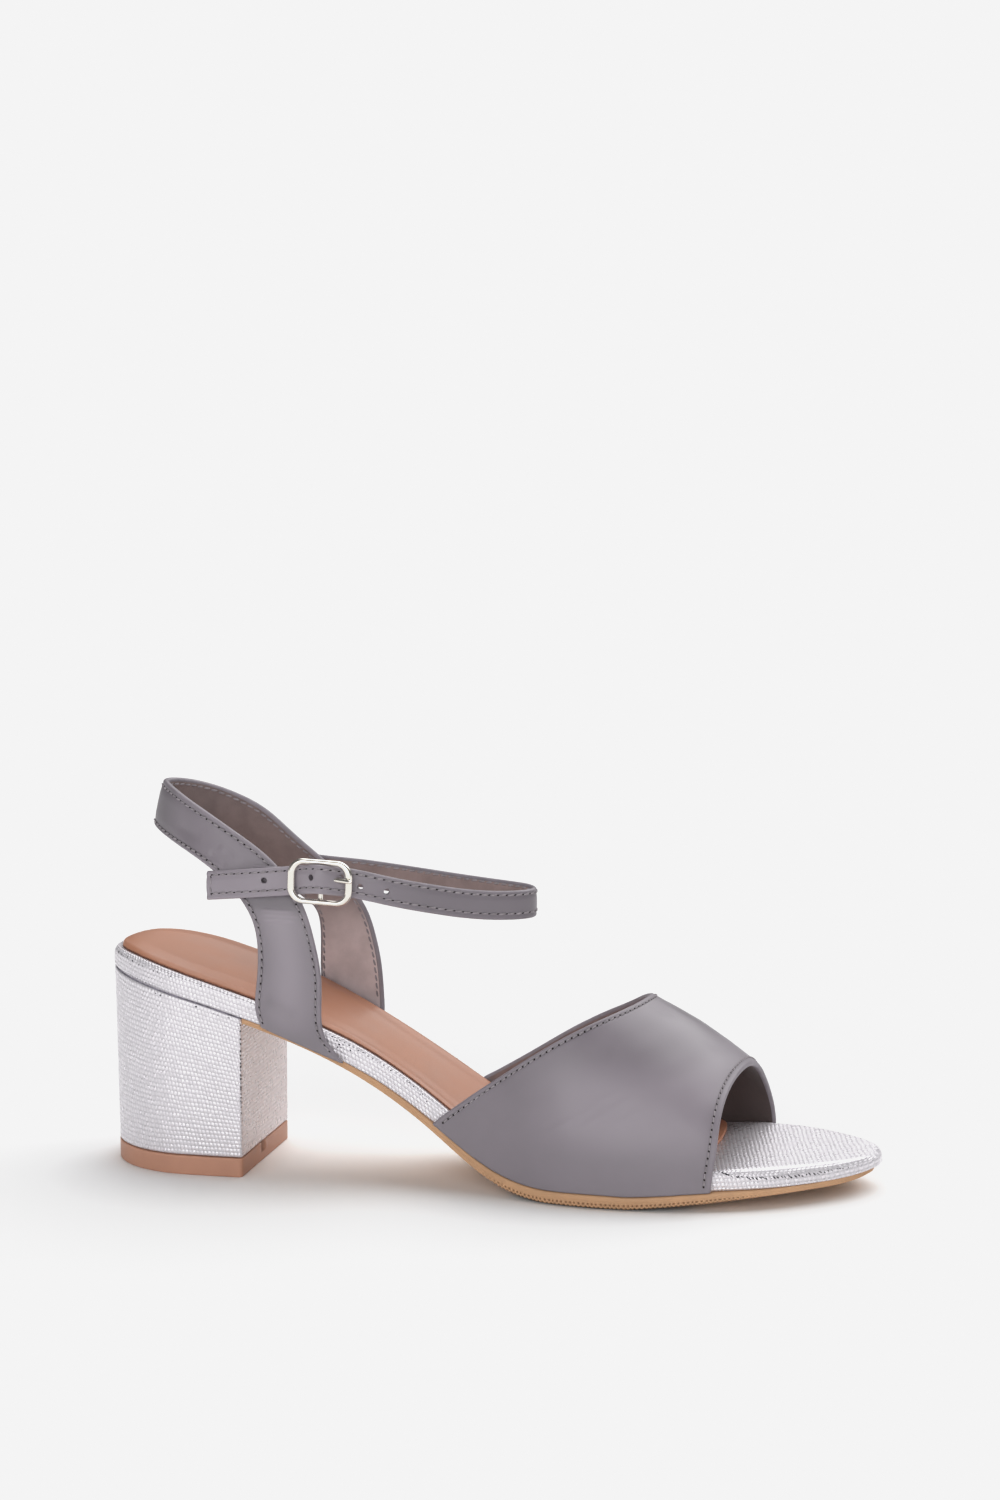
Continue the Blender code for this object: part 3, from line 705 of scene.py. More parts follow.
def suede_lining(name, factor, darkened=None):
    """Taupe microfibre lining with a brushed nap, darkened by painted shade between two distances from the
    shoe's middle.
    """
    base = colours().lining
    values = {"specular_ior_level": 0.2, "sheen_weight": 0.25, "sheen_roughness": 0.4}
    material, tree, shader, grain = grained(name, (3200.0, 130.0), (0.82, 0.95), (0.00006, 0.8), **values)
    tone = mottled(tree, grain, base, 0.86 * factor, 1.12 * factor)
    if darkened:
        where = place(tree, "ShaderNodeTexCoord").outputs["Object"]
        forward = place(tree, "ShaderNodeSeparateXYZ", {"Vector": where}).outputs["X"]
        # painted shade: darker further forward
        painted_shade = map_range(tree, forward, *darkened, 0.0, 1.0)
        tone = mix_colour(tree, painted_shade, tone, shade(base, 0.5))
    tree.links.new(tone, shader["Base Color"])
    return material


def strap_lining(name):
    """The lining of the ankle strap."""
    return suede_lining(name, 1.35)


def vamp_lining(name):
    """The lining of the vamp, darkened by painted shade towards the toe opening."""
    return suede_lining(name, 1.25, (0.055, 0.068))


def sling_lining(name):
    """The lining of the sling, paler by painted light towards the sole, and smoother there."""
    fresh, lit_colour = colours().lining, colours().rubbed_lining
    material, tree, shader = new_finish(name, specular_ior_level=0.3, sheen_weight=0.25, sheen_roughness=0.4)
    grain = use_group(tree, skin_grain, grain_scale=3200.0, mottle_scale=160.0)
    where = place(tree, "ShaderNodeTexCoord").outputs["Object"]
    height = place(tree, "ShaderNodeSeparateXYZ", {"Vector": where}).outputs["Z"]
    # painted light: the lining paler towards the sole
    rubbed = map_range(tree, height, 0.084, 0.062, 0.0, 1.0)
    dark, pale = mottled(tree, grain, fresh, 0.88, 1.08), mottled(tree, grain, lit_colour, 0.92, 1.1)
    tree.links.new(mix_colour(tree, rubbed, dark, pale), shader["Base Color"])
    tree.links.new(map_range(tree, rubbed, 0.0, 1.0, 0.9, 0.55), shader["Roughness"])
    tree.links.new(bump(tree, grain["Height"], 0.00006, 0.8), shader["Normal"])
    return material


def embossed_foil(name):
    """Silver foil embossed with rows of small oval cells, with painted shade and painted warm reflected light
    on the breast of the heel.
    """
    light = colours().silver
    material, tree, shader = new_finish(name, specular_ior_level=0.6)
    cells = use_group(tree, embossed_cells)
    grain = use_group(tree, skin_grain, grain_scale=900.0, mottle_scale=90.0)
    raised = mix_colour(tree, cells["Glint"], shade(light, 0.94), shade(light, 1.1))
    lined = mix_colour(tree, cells["Line"], raised, shade(light, 0.73))
    rubbed = mix_colour(tree, grain["Mottle"], lined, raised)
    cold = mix_colour(tree, 0.75, rubbed, lined)
    # painted shade and painted warm reflected light on the breast of the heel
    mark = place(tree, "ShaderNodeAttribute", attribute_name="breast_shade").outputs["Fac"]
    breast_shade_share = math_node(tree, "MULTIPLY", mark, 0.55)
    breast_shaded = mix_colour(tree, breast_shade_share, cold, shade(colours().warm_silver, 1.0))
    tree.links.new(breast_shaded, shader["Base Color"])
    tree.links.new(map_range(tree, cells["Line"], 0.0, 1.0, 0.45, 0.3), shader["Metallic"])
    tree.links.new(map_range(tree, cells["Glint"], 0.0, 1.0, 0.42, 0.26), shader["Roughness"])
    tree.links.new(bump(tree, cells["Height"], 0.00016, 1.0), shader["Normal"])
    return material


def foil_crack(name, factor=1.0):
    """Dark backing where the foil has cracked or is folded under."""
    tones = 0.6 * factor, 1.5 * factor
    return plain_finish(name, colours().pit, tones, (1500.0, 700.0), (0.7, 0.9), specular_ior_level=0.2)


def foil_fold(name):
    """Painted shade: dark foil in the groove between the footbed and the heel."""
    # painted shade, in the crack colour made lighter
    return foil_crack(name, 5.0)


def sock_leather(name):
    """Smooth tan sock lining with a soft gloss, and painted light where its tone mark is above nought."""
    base = colours().sock
    values = {"specular_ior_level": 0.25, "coat_roughness": 0.3}
    material, tree, shader, grain = grained(name, (1800.0, 35.0), (0.36, 0.46), (0.00003, 0.4), **values)
    painted_tone = use_group(tree, faded_places)
    tone = mottled(tree, grain, base, 0.95, 1.05)
    # painted light from the tone mark
    tree.links.new(mix_colour(tree, painted_tone["Pale"], tone, shade(base, 1.8)), shader["Base Color"])
    tree.links.new(map_range(tree, grain["Mottle"], 0.0, 1.0, 0.14, 0.06), shader["Coat Weight"])
    return material


def sock_edge(name):
    """The cut edge of the sock lining, brown darkened by painted shade."""
    look = (1500.0, 400.0), (0.75, 0.9)
    return plain_finish(name, colours().sock_edge, (0.7, 1.3), *look, specular_ior_level=0.2)


def sole_rubber(name):
    """Matt tan sole rubber, faintly speckled, with painted shade in its dents and a painted contact shadow
    where it meets the floor.
    """
    base = colours().outsole
    look = (1500.0, 160.0), (0.58, 0.72), (0.00005, 0.6)
    material, tree, shader, grain = grained(name, *look, specular_ior_level=0.35)
    dent_and_contact_shade = place(tree, "ShaderNodeAttribute", attribute_name="dent_and_contact_shade").outputs["Fac"]
    # painted shade darkens the dents, and a painted contact shadow darkens the bottom of the edge
    dent_shade = map_range(tree, dent_and_contact_shade, 0.25, 0.95, 0.0, 0.85)
    floor_contact_shade = map_range(tree, dent_and_contact_shade, 1.1, 1.9, 0.0, 0.9)
    dent_shaded = mix_colour(tree, dent_shade, mottled(tree, grain, base, 0.92, 1.06), shade(base, 0.3))
    tree.links.new(mix_colour(tree, floor_contact_shade, dent_shaded, shade(base, 0.05)), shader["Base Color"])
    return material


def moulded_tip(name):
    """Moulded brown-tan top piece with a satin face, and painted shade where its tone mark is below nought.
    """
    base = colours().heel_tip
    look = (2200.0, 90.0), (0.4, 0.5), (0.00002, 0.5)
    material, tree, shader, grain = grained(name, *look, specular_ior_level=0.22)
    rubbed = math_node(tree, "MULTIPLY", use_group(tree, rim_wear, scale=500.0)["Mask"], 0.4)
    worn = mix_colour(tree, rubbed, mottled(tree, grain, base, 0.95, 1.05), shade(base, 1.4))
    # painted shade where the tone mark is below nought
    painted_shade = mix_colour(tree, use_group(tree, faded_places)["Dark"], worn, shade(base, 0.42))
    tree.links.new(painted_shade, shader["Base Color"])
    return material


def polished_nickel(name):
    """Polished pale warm metal with faint handling marks."""
    return plain_finish(name, colours().metal, (0.95, 1.03), (1400.0, 500.0), (0.12, 0.24), metallic=1.0)


def sewing_thread(name):
    """Grey twisted sewing thread."""
    look = (5000.0, 900.0), (0.6, 0.8), (0.00008, 0.8)
    return plain_finish(name, colours().thread, (0.75, 1.2), *look, specular_ior_level=0.3)


def needle_hole(name):
    """The shaded pits between stitches."""
    look = (1500.0, 700.0), (0.85, 0.95)
    return plain_finish(name, colours().needle, (0.7, 1.3), *look, specular_ior_level=0.1)


def studio_paper(name):
    """Plain pale paper."""
    look = (600.0, 2.0), (0.9, 0.95)
    return plain_finish(name, colours().floor, (0.998, 1.002), *look, specular_ior_level=0.0)


# Values that a user would change


def length(name, description, default):
    """A length in metres."""
    settings = {"unit": "LENGTH", "precision": 5}
    return bpy.props.FloatProperty(name=name, description=description, default=default, **settings)


def colour(name, description, default):
    """A base colour."""
    settings = {"subtype": "COLOR", "size": 3, "min": 0.0, "max": 1.0}
    return bpy.props.FloatVectorProperty(name=name, description=description, default=default, **settings)


class SandalSizes(bpy.types.PropertyGroup):
    """Sizes of the finer details"""

    vamp_wall: length("Vamp wall", "Thickness of the vamp with its lining", 0.0018)
    sling_thickness: length("Sling thickness", "Thickness of the heel sling with its lining", 0.002)
    strap_thickness: length("Strap thickness", "Thickness of the ankle strap", 0.0017)
    strap_width: length("Strap width", "Width of the ankle strap", 0.0088)
    sock_thickness: length("Sock thickness", "Thickness of the sock lining", 0.0012)
    stitch_pitch: length("Stitch pitch", "Distance from one stitch to the next", 0.0026)
    stitch_inset: length("Stitch inset", "Distance of a seam from the edge of its leather", 0.0016)
    thread_radius: length("Thread radius", "Half the thickness of the sewing thread", 0.00026)
    hole_radius: length("Strap hole radius", "Half the width of a punched hole", 0.0009)
    rib_pitch: length("Rib pitch", "Distance between the dents along the outsole's edge", 0.00135)
    tooth_pitch: length("Sock tooth pitch", "Distance between the teeth along the sock's cut edge", 0.0011)
    buckle_length: length("Buckle length", "Outer length of the buckle frame", 0.0198)
    buckle_height: length("Buckle height", "Outer height of the buckle frame", 0.0136)
    floor_size: length("Floor size", "Side of the studio floor", 60.0)


class SandalColours(bpy.types.PropertyGroup):
    """Base colours of the finishes"""

    leather: colour("Leather", "Grey outer leather", (0.212, 0.187, 0.211))
    lining: colour("Lining", "Taupe lining of vamp and sling", (0.21, 0.162, 0.157))
    # painted light: the paler lining towards the sole
    rubbed_lining: colour("Rubbed lining", "Lining rubbed pale and smooth", (0.60, 0.51, 0.515))
    silver: colour("Silver foil", "Embossed foil on footbed and heel", (0.77, 0.74, 0.78))
    # painted shade and warm reflected light for the foil on the breast of the heel
    warm_silver: colour("Warm foil", "Foil on the breast of the heel", (0.68, 0.56, 0.54))
    pit: colour("Foil cracks", "Where the foil has cracked", (0.045, 0.042, 0.05))
    sock: colour("Sock", "Tan sock lining", (0.44, 0.2, 0.122))
    # painted shade: the sock's cut edge darker than the sock
    sock_edge: colour("Sock edge", "Cut edge of the sock lining", (0.24, 0.11, 0.075))
    outsole: colour("Outsole", "Tan sole rubber", (0.56, 0.33, 0.185))
    heel_tip: colour("Heel tip", "Top piece of the heel", (0.49, 0.255, 0.175))
    metal: colour("Buckle", "Pale warm metal", (0.86, 0.82, 0.75))
    thread: colour("Thread", "Sewing thread", (0.29, 0.262, 0.28))
    needle: colour("Needle holes", "Shaded needle holes", (0.026, 0.021, 0.022))
    floor: colour("Floor", "Studio floor", (0.93, 0.93, 0.93))


def millimetres(value):
    """A length in millimetres, from metres."""
    return value / MM


# Sole pieces

DENTS_BEGIN = (112.0, 132.0)  # x over which the dents along the outsole's edge set in
DENTS_THICKNESS = (1.5, 2.8)  # thickness of the outsole over which they grow
DENT_DEPTH = 0.19  # of the outsole's thickness
CONTACT_SHADOW_BEGIN = (100.0, 125.0)  # x over which the painted contact shadow along the tread sets in
CONTACT_SHADOW_HEIGHTS = (3.0, 0.4)  # heights over the floor from no painted contact shadow to full
CONTACT_SHADOW_SHARE = 0.12  # of the outsole's height, from below, that takes the painted contact shadow
OUTSOLE_SIDE = (
    # share of the height, inward distance as a share of the thickness, lower dents, upper dents
    (0.0, 0.50, 0.0, 0.0),
    (0.10, 0.30, 0.0, 0.0),
    (0.13, 0.10, 0.8, 0.0),
    (0.17, 0.02, 1.0, 0.0),
    (0.22, 0.0, 0.8, 0.0),
    (0.26, 0.0, 0.15, 0.15),
    (0.31, 0.0, 0.0, 0.8),
    (0.38, 0.0, 0.0, 1.0),
    (0.45, 0.01, 0.0, 0.6),
    (0.51, 0.04, 0.0, 0.0),
    (0.57, 0.07, 0.0, 0.0),
    (0.63, 0.03, 0.0, 0.0),
    (0.71, 0.0, 0.0, 0.0),
    (0.85, 0.0, 0.0, 0.0),
    (0.94, 0.02, 0.0, 0.0),
    (1.0, 0.08, 0.0, 0.0),
)
UNDERSIDE = (0.25, 0.5, 0.75)  # places across an underside, as shares of its width
EDGE_BEND = np.radians((15, 30, 45, 60, 75))
TOOTH_DEPTH = 0.22
SOCK_PAD_RISE = 9.0
SOCK_CUSHION = 0.5


def outsole_rings(x, rib_pitch):
    """Sections of the outsole, and its painted shade: how deep each point lies in the two rows of dents along
    its lower edge, and a painted contact shadow at its bottom near the floor.
    """
    outer, inner = sole_edges(x, OUTSOLE_INSET)
    back = x - TOE_SETBACK * smooth(200.0, SHOE_LENGTH, x)
    under, top = np.maximum(PROFILE["tread"](back), 0.0), outsole_top(back) - GAP / 2
    thick, width = top - under, inner - outer
    reach = smooth(*DENTS_BEGIN, x) * smooth(*DENTS_THICKNESS, thick)
    # painted contact shadow along the bottom of the edge, where the tread is near the floor
    contact_shadow = 2.0 * smooth(*CONTACT_SHADOW_HEIGHTS, under) * smooth(*CONTACT_SHADOW_BEGIN, x)
    strips, dent_and_contact_shade = [], []
    for edge, sign in ((outer, 1), (inner, -1)):
        phase = 2 * np.pi * arc_length(np.stack([back, edge], axis=-1)) / rib_pitch
        phase = phase + 0.5 * np.sin(0.23 * phase) + 0.3 * np.sin(0.61 * phase)
        low_dent, high_dent = 0.5 + 0.5 * np.sin(phase), 0.5 - 0.5 * np.sin(phase)
        for share, inward, low, high in OUTSOLE_SIDE:
            dent = reach * (low * low_dent + high * high_dent)
            depth = inward * np.minimum(thick, 0.3 * width) + DENT_DEPTH * thick * dent
            strips.append(np.stack([back, edge + sign * depth, under + share * thick], axis=-1))
            dent_and_contact_shade.append(contact_shadow if share < CONTACT_SHADOW_SHARE else dent)
    half = len(OUTSOLE_SIDE)
    across = [strips[half] + share * (strips[0] - strips[half]) for share in UNDERSIDE]
    dent_and_contact_shade = np.stack(dent_and_contact_shade[:half] + dent_and_contact_shade[half:][::-1] + [0.0 * x] * len(UNDERSIDE), axis=1)
    return np.stack(strips[:half] + strips[half:][::-1] + across, axis=1), dent_and_contact_shade


class SANDAL_OT_outsole(bpy.types.Operator):
    """Build the tan outsole with its ribbed edge"""

    bl_idname = "sandal.outsole"
    bl_label = "Outsole"

    def execute(self, context):
        tip = SHOE_LENGTH - OUTSOLE_INSET - BLUNT_END
        x = stations(HEEL_BREAST + GAP, tip, 0.22, [(SHOE_LENGTH, -TOE_ROUND)])
        rings, dent_and_contact_shade = outsole_rings(x, millimetres(context.scene.sandal_sizes.rib_pitch))
        # the mark carries the painted shade in the dents and the painted contact shadow
        piece = add_rings("outsole_sole", rings, [finish(sole_rubber)], "tan_rubber", marks={"dent_and_contact_shade": dent_and_contact_shade})
        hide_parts("outsole")
        return {"FINISHED"}


def footbed_rings(x):
    """Sections of the wrapped footbed: upright sides, rounded top edges and a dished top."""
    inset = PROFILE["inset"](x)
    outer, inner = sole_edges(x, inset)
    under, rolled = outsole_top(x) + GAP / 2, roll_off(x)
    top = bed_edge(x) - rolled
    corner = np.minimum.reduce([bed_corner(x), 0.35 * (inner - outer), 0.5 * (top - under)])
    widened = np.where(x < SHOE_LENGTH / 2, np.hypot(1.0, np.gradient(outer, x)), 1.0)
    reach = np.minimum(widened * corner, 0.48 * (inner - outer))
    strips = []
    for edge, sign in ((outer, 1), (inner, -1)):
        crest = bed(x, edge + sign * reach) - rolled
        rise = crest - corner - under
        side = [np.stack([x, edge, under + share * rise], -1) for share in np.linspace(0, 1, 7)]
        for turn in EDGE_BEND:
            y = edge + sign * reach * (1 - np.cos(turn))
            side.append(np.stack([x, y, crest - corner * (1 - np.sin(turn))], -1))
        strips.append(side)
    flat = []
    for share in np.linspace(-1, 1, 33):
        y = (outer + inner) / 2 + share * ((inner - outer) / 2 - reach)
        flat.append(np.stack([x, y, bed(x, y) - rolled], -1))
    below = [strips[1][0] + share * (strips[0][0] - strips[1][0]) for share in UNDERSIDE]
    return np.stack(strips[0] + flat + strips[1][::-1] + below, axis=1)


class SANDAL_OT_footbed(bpy.types.Operator):
    """Build the footbed, wrapped in embossed silver foil"""

    bl_idname = "sandal.footbed"
    bl_label = "Footbed"

    def execute(self, context):
        heel, toe = PROFILE["inset"](0.0), SHOE_LENGTH - PROFILE["inset"](SHOE_LENGTH)
        x = stations(heel + 0.01, toe - BLUNT_END, 0.9, [(heel, HEEL_ROUND), (toe, -TOE_ROUND)])
        rings = footbed_rings(x)
        run = arc_length(np.stack([x, sole_edges(x, PROFILE["inset"](x))[0]], -1))
        heel_end = np.searchsorted(x, HEEL_ROUND)
        along = np.where(x < HEEL_ROUND, x[heel_end] + run - run[heel_end], x)
        foil = [finish(embossed_foil)]
        piece = add_rings("footbed_wrap", rings, foil, "silver_foil", along=along)
        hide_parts("footbed")
        return {"FINISHED"}


def sock_rings(x, thickness, tooth_pitch):
    """Sections of the sock lining, which lies in the dish of the footbed and has a toothed cut edge."""
    behind = x - SOCK_SETBACK * smooth(60.0, 20.0, x)
    outer, inner = sole_edges(behind, PROFILE["inset"](x) + SOCK_INSET)
    middle, half = (outer + inner) / 2, (inner - outer) / 2
    front = np.clip((SOCK_FRONT - x) / SOCK_FRONT_ROUND, 0.0, 1.0)
    half = half * np.sqrt(front * (2 - front))
    length_along = arc_length(np.stack([x, half], -1))
    tooth = np.minimum(TOOTH_DEPTH, 0.012 * half) * np.abs(2 * np.mod(length_along / tooth_pitch, 1.0) - 1)
    bed_top = GAP - roll_off(x)
    side = np.array((0.93, 0.95, 0.97, 0.985, 1.0))
    start = np.clip((x - SOCK_BACK) / SOCK_PAD_RISE, 0.0, 1.0)
    seat = SOCK_PAD * smooth(*SOCK_PAD_END[::-1], x) * start * (2 - start)
    cushion = SOCK_CUSHION * smooth(SOCK_FRONT, SOCK_FRONT - 30.0, x)
    above, below = [], []
    for share in np.concatenate([-side[::-1], np.linspace(-0.9, 0.9, 37), side]):
        y = middle + share * (half - tooth * (abs(share) == 1))
        edge = (1 - abs(share)) * half
        pad = seat * (1 - abs(share) ** 6) + cushion * smooth(3.0, 9.0, edge)
        body = thickness * (0.3 + 0.7 * smooth(-0.6, 2.2, edge))
        above.append(np.stack([x, y, bed(x, y) + bed_top + body + pad], -1))
    for share in (-1, -0.5, 0, 0.5, 1):
        y = middle + share * (half - tooth * (abs(share) == 1))
        below.append(np.stack([x, y, bed(x, y) + bed_top], -1))
    column_finish = np.zeros(len(below) + len(above), int)
    column_finish[[len(below) - 1, -1]] = 1
    return np.stack(below + above[::-1], axis=1), column_finish


class SANDAL_OT_sock(bpy.types.Operator):
    """Build the tan sock lining in the dish of the footbed"""

    bl_idname = "sandal.sock"
    bl_label = "Insole sock"

    def execute(self, context):
        sizes = context.scene.sandal_sizes
        ends = [(SOCK_INSET + PROFILE["inset"](0.0), HEEL_ROUND), (SOCK_FRONT, -SOCK_FRONT_ROUND)]
        x = stations(SOCK_BACK, SOCK_FRONT - BLUNT_END, 0.27, ends)
        thickness, pitch = millimetres(sizes.sock_thickness), millimetres(sizes.tooth_pitch)
        rings, column_finish = sock_rings(x, thickness, pitch)
        finishes = [finish(sock_leather), finish(sock_edge)]
        # tone: painted light, lightening the front of the sock seen through the toe opening
        tone = 0.9 * smooth(172.0, 181.0, rings[..., 0])
        piece = add_rings("sock_lining", rings, finishes, "tan_lining", column_finish, {"tone": tone})
        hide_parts("insole_sock")
        return {"FINISHED"}


# Heel

BEVEL_TURNS = np.radians((0, 30, 60))
TIP_CORNER = 1.4
NICK_SPOT = -3.2  # y of the nick in the breast of the top piece, and of the lip beside it
LIP_SPOT = -1.4


def heel_outline(start, inset, corner):
    """Plan of the heel: round at the back, flat at the breast, with rounded breast corners."""
    share = eased(np.linspace(0.04, 1.0, 44))
    x = start + share * (HEEL_BREAST - corner - start)
    rounding = np.minimum((x - start) / HEEL_BLOCK_ROUND, 1.0)
    half = (OUTLINE["half"](x) - inset) * np.sqrt(rounding * (2 - rounding))
    centre = OUTLINE["centre"](x)
    outer = np.stack([x, centre - half], -1)
    inner = np.stack([x, centre + half], -1)
    turn = np.linspace(0, np.pi / 2, 7)[1:]
    arc_x = HEEL_BREAST - corner + corner * np.sin(turn)
    arc_y = corner * (1 - np.cos(turn))
    outer_arc = np.stack([arc_x, outer[-1, 1] + arc_y], -1)
    inner_arc = np.stack([arc_x, inner[-1, 1] - arc_y], -1)
    breast_y = np.linspace(outer_arc[-1, 1], inner_arc[-1, 1], 26)[1:-1]
    breast = np.stack([np.full_like(breast_y, HEEL_BREAST), breast_y], -1)
    return np.concatenate([outer, outer_arc, breast, inner_arc[::-1], inner[::-1]])


def drawn_in(loop, amount):
    """A plan outline drawn in by an amount."""
    run = np.roll(loop, -1, axis=0) - np.roll(loop, 1, axis=0)
    out = unit(np.stack([run[:, 1], -run[:, 0]], -1))
    return loop - amount * out


def heel_levels(foot, seat, foot_height, seat_height, bevels, rows, neck=(0.0, 0.0)):
    """Rings of a heel piece from foot to seat, with a small bevel at each end and a drawn-in neck on top."""
    low, high = bevels
    rings = []
    for turn in BEVEL_TURNS:
        plan = drawn_in(foot, low * (1 - np.sin(turn)))
        rings.append(np.column_stack([plan, foot_height(plan[:, 0]) + low * (1 - np.cos(turn))]))
    for share in np.linspace(0, 1, rows):
        plan = foot + share * (seat - foot)
        floor, top = foot_height(plan[:, 0]) + low, seat_height(plan[:, 0]) - neck[1] - high
        rings.append(np.column_stack([plan, floor + share * (top - floor)]))
    steps = [(high * (1 - np.sin(turn)), neck[1] + high * (1 - np.cos(turn))) for turn in BEVEL_TURNS[::-1]]
    if neck[1] > 0:
        steps += [neck, (neck[0], 0.0)]
    for inward, drop in steps:
        plan = drawn_in(seat, inward)
        rings.append(np.column_stack([plan, seat_height(plan[:, 0]) - drop]))
    return np.stack(rings)


class SANDAL_OT_heel(bpy.types.Operator):
    """Build the foil-covered heel block and its top piece"""

    bl_idname = "sandal.heel"
    bl_label = "Heel"

    def execute(self, context):
        self.build_block()
        self.build_tip()
        return {"FINISHED"}

    def build_block(self):
        """The foil-covered block, with painted shade in the groove of the foil's folded line under the
        footbed.
        """
        foot = heel_outline(HEEL_SETBACK, HEEL_INSET[0], HEEL_CORNER)
        seat = heel_outline(HEEL_SEAT_BACK, HEEL_INSET[1], HEEL_CORNER)

        def floor(x):
            return np.full_like(x, TIP_HEIGHT + GAP)

        def top(x):
            return outsole_top(x) - GAP / 2

        rings = heel_levels(foot, seat, floor, top, (0.5, 0.3), 44, neck=(0.55, 0.42))
        height = rings[..., 2].mean(axis=1)
        groove = np.zeros((len(rings) - 1, 1), int)
        groove[-2:] = 1
        # painted shade and warm reflected light on the breast face of the heel
        marks = {"breast_shade": smooth(HEEL_BREAST - 0.4, HEEL_BREAST - 0.1, rings[..., 0])}
        # painted shade in the groove under the footbed
        foil = [finish(embossed_foil), finish(foil_fold)]
        piece = add_rings("heel_cover", rings, foil, "silver_foil", groove, marks, along=height, upright=True)
        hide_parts("heel_block")

    def build_tip(self):
        """The top piece, with a nick in its breast."""
        plan = heel_outline(HEEL_SETBACK, TIP_INSET, TIP_CORNER)

        def top(x):
            return np.full_like(x, TIP_HEIGHT)

        rings = heel_levels(plan, plan, np.zeros_like, top, (0.5, 0.25), 20)
        x, y, z = rings[..., 0], rings[..., 1], rings[..., 2]
        on_breast = smooth(HEEL_BREAST - 0.3, HEEL_BREAST - 0.05, x)
        nick = np.exp(-(((y - NICK_SPOT) / 0.9) ** 4)) * smooth(2.6, 3.4, z)
        lip = np.exp(-(((y - LIP_SPOT) / 0.8) ** 2)) * smooth(2.6, 3.4, z)
        rings[..., 0] += on_breast * (0.3 * lip - 1.0 * nick)
        rim = np.exp(-((np.minimum(z, TIP_HEIGHT - z) / 0.5) ** 2))
        # tone: painted shade on the breast, darker still in the nick
        marks = {"rim": rim, "tone": -on_breast * (0.12 + 0.85 * nick)}
        plastic = [finish(moulded_tip)]
        piece = add_rings("heel_top_piece", rings, plastic, "heel_tip_plastic", marks=marks)
        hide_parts("heel_tip")


# Vamp

VAMP_SIDE_ROWS = 12
VAMP_TURN_ROWS = 200
VAMP_PLACES = 110
EDGE_TURNS = 7


def vamp_rows():
    """Angle round the last and drop below it, for each row from the outer to the inner sole."""
    drop = np.linspace(1, 0, VAMP_SIDE_ROWS, endpoint=False)
    angle = 90 * (1 - np.cos(np.pi * np.linspace(0, 1, VAMP_TURN_ROWS)))
    still = np.zeros_like(drop)
    angles = np.concatenate([still, angle, still + 180])
    drops = np.concatenate([drop, np.zeros_like(angle), drop[::-1]])
    return angles, drops


def last_surface(x, angle, drop):
    """Points of the vamp's outer face."""
    inset = PROFILE["inset"](x) - GAP - millimetres(bpy.context.scene.sandal_sizes.vamp_wall)
    outer, inner = sole_edges(x, inset)
    ridge, spring = INSTEP["centre"](x), bed_edge(x)
    base = np.where(angle <= 90, outer, inner)
    turn = np.radians(angle)
    y = ridge + (base - ridge) * np.abs(np.cos(turn))
    z = spring + (INSTEP["height"](x) - spring) * np.sin(turn)
    return np.stack([x + 0 * z, y, z - drop * (spring - outsole_top(x) - GAP / 2)], axis=-1)


def vamp_surface(angle, drop, along):
    """Points between the throat (along 0) and the toe edge (along 1)."""
    throat, toe = VAMP_EDGES["throat"](angle), VAMP_EDGES["toe"](angle)
    throat = throat + drop * (VAMP_FOOT[0] - throat)
    toe = toe + np.where(angle <= 90, drop * (VAMP_FOOT[1] - toe), 0.0)
    return last_surface(throat + along * (toe - throat), angle, drop)


def surface_normals(points):
    """Outward normals of a lattice whose rows run from the outer to the inner side."""
    down, along = np.gradient(points, axis=0), np.gradient(points, axis=1)
    return unit(-np.cross(down, along))


def vamp_lattice(margin, places=VAMP_PLACES):
    """Points and normals of the vamp, with its throat and toe edges drawn in by a margin."""
    angles, drops = vamp_rows()
    ends = [vamp_surface(angles, drops, np.full_like(angles, end)) for end in (0.0, 1.0)]
    share = margin / np.maximum(np.linalg.norm(ends[1] - ends[0], axis=-1), 1.0)
    along = share[:, None] + (1 - 2 * share[:, None]) * np.linspace(0, 1, places)
    points = vamp_surface(angles[:, None], drops[:, None], along)
    return points, surface_normals(points)


def seam_groove(distance, inset, depth=0.16):
    """The groove that a seam pulls into the leather, by the distance from the edge."""
    return -depth * np.exp(-(((distance - inset) / 0.55) ** 2))


def vamp_relief(points, inset):
    """Creases, slow waves and seam grooves of the outer face."""
    x, y, z = points[..., 0], points[..., 1], points[..., 2]
    outer_side = smooth(0.0, -8.0, y - INSTEP["centre"](x))
    relief = outer_side * crease_relief(points, VAMP_CREASES)
    relief = relief + 0.10 * np.sin(0.16 * x + 0.11 * z + 0.6) * np.sin(0.21 * z - 0.05 * x + 0.05 * y)
    relief = relief + 0.05 * np.sin(0.42 * x - 0.3 * z) * np.sin(0.33 * z + 0.12 * y + 1.0)
    from_throat = arc_length(points.transpose(1, 0, 2)).T
    from_toe = from_throat[:, -1:] - from_throat
    return relief + seam_groove(from_throat, inset) + seam_groove(from_toe, inset, 0.07)


def edge_turn(middle, normal, outward, radius, turns):
    """Points of a rounded edge, from the outer face round to the inner one."""
    angles = np.linspace(0, np.pi, turns + 2)[1:-1]
    return [middle + radius * (np.cos(a) * normal + np.sin(a) * outward) for a in angles]


def face_strips(places):
    """Finish of each column of a lined leather wall: outer face, rounded edge, lining, rounded edge."""
    return np.repeat((0, 1, 2, 1), (places - 1, EDGE_TURNS + 1, places - 1, EDGE_TURNS + 1))


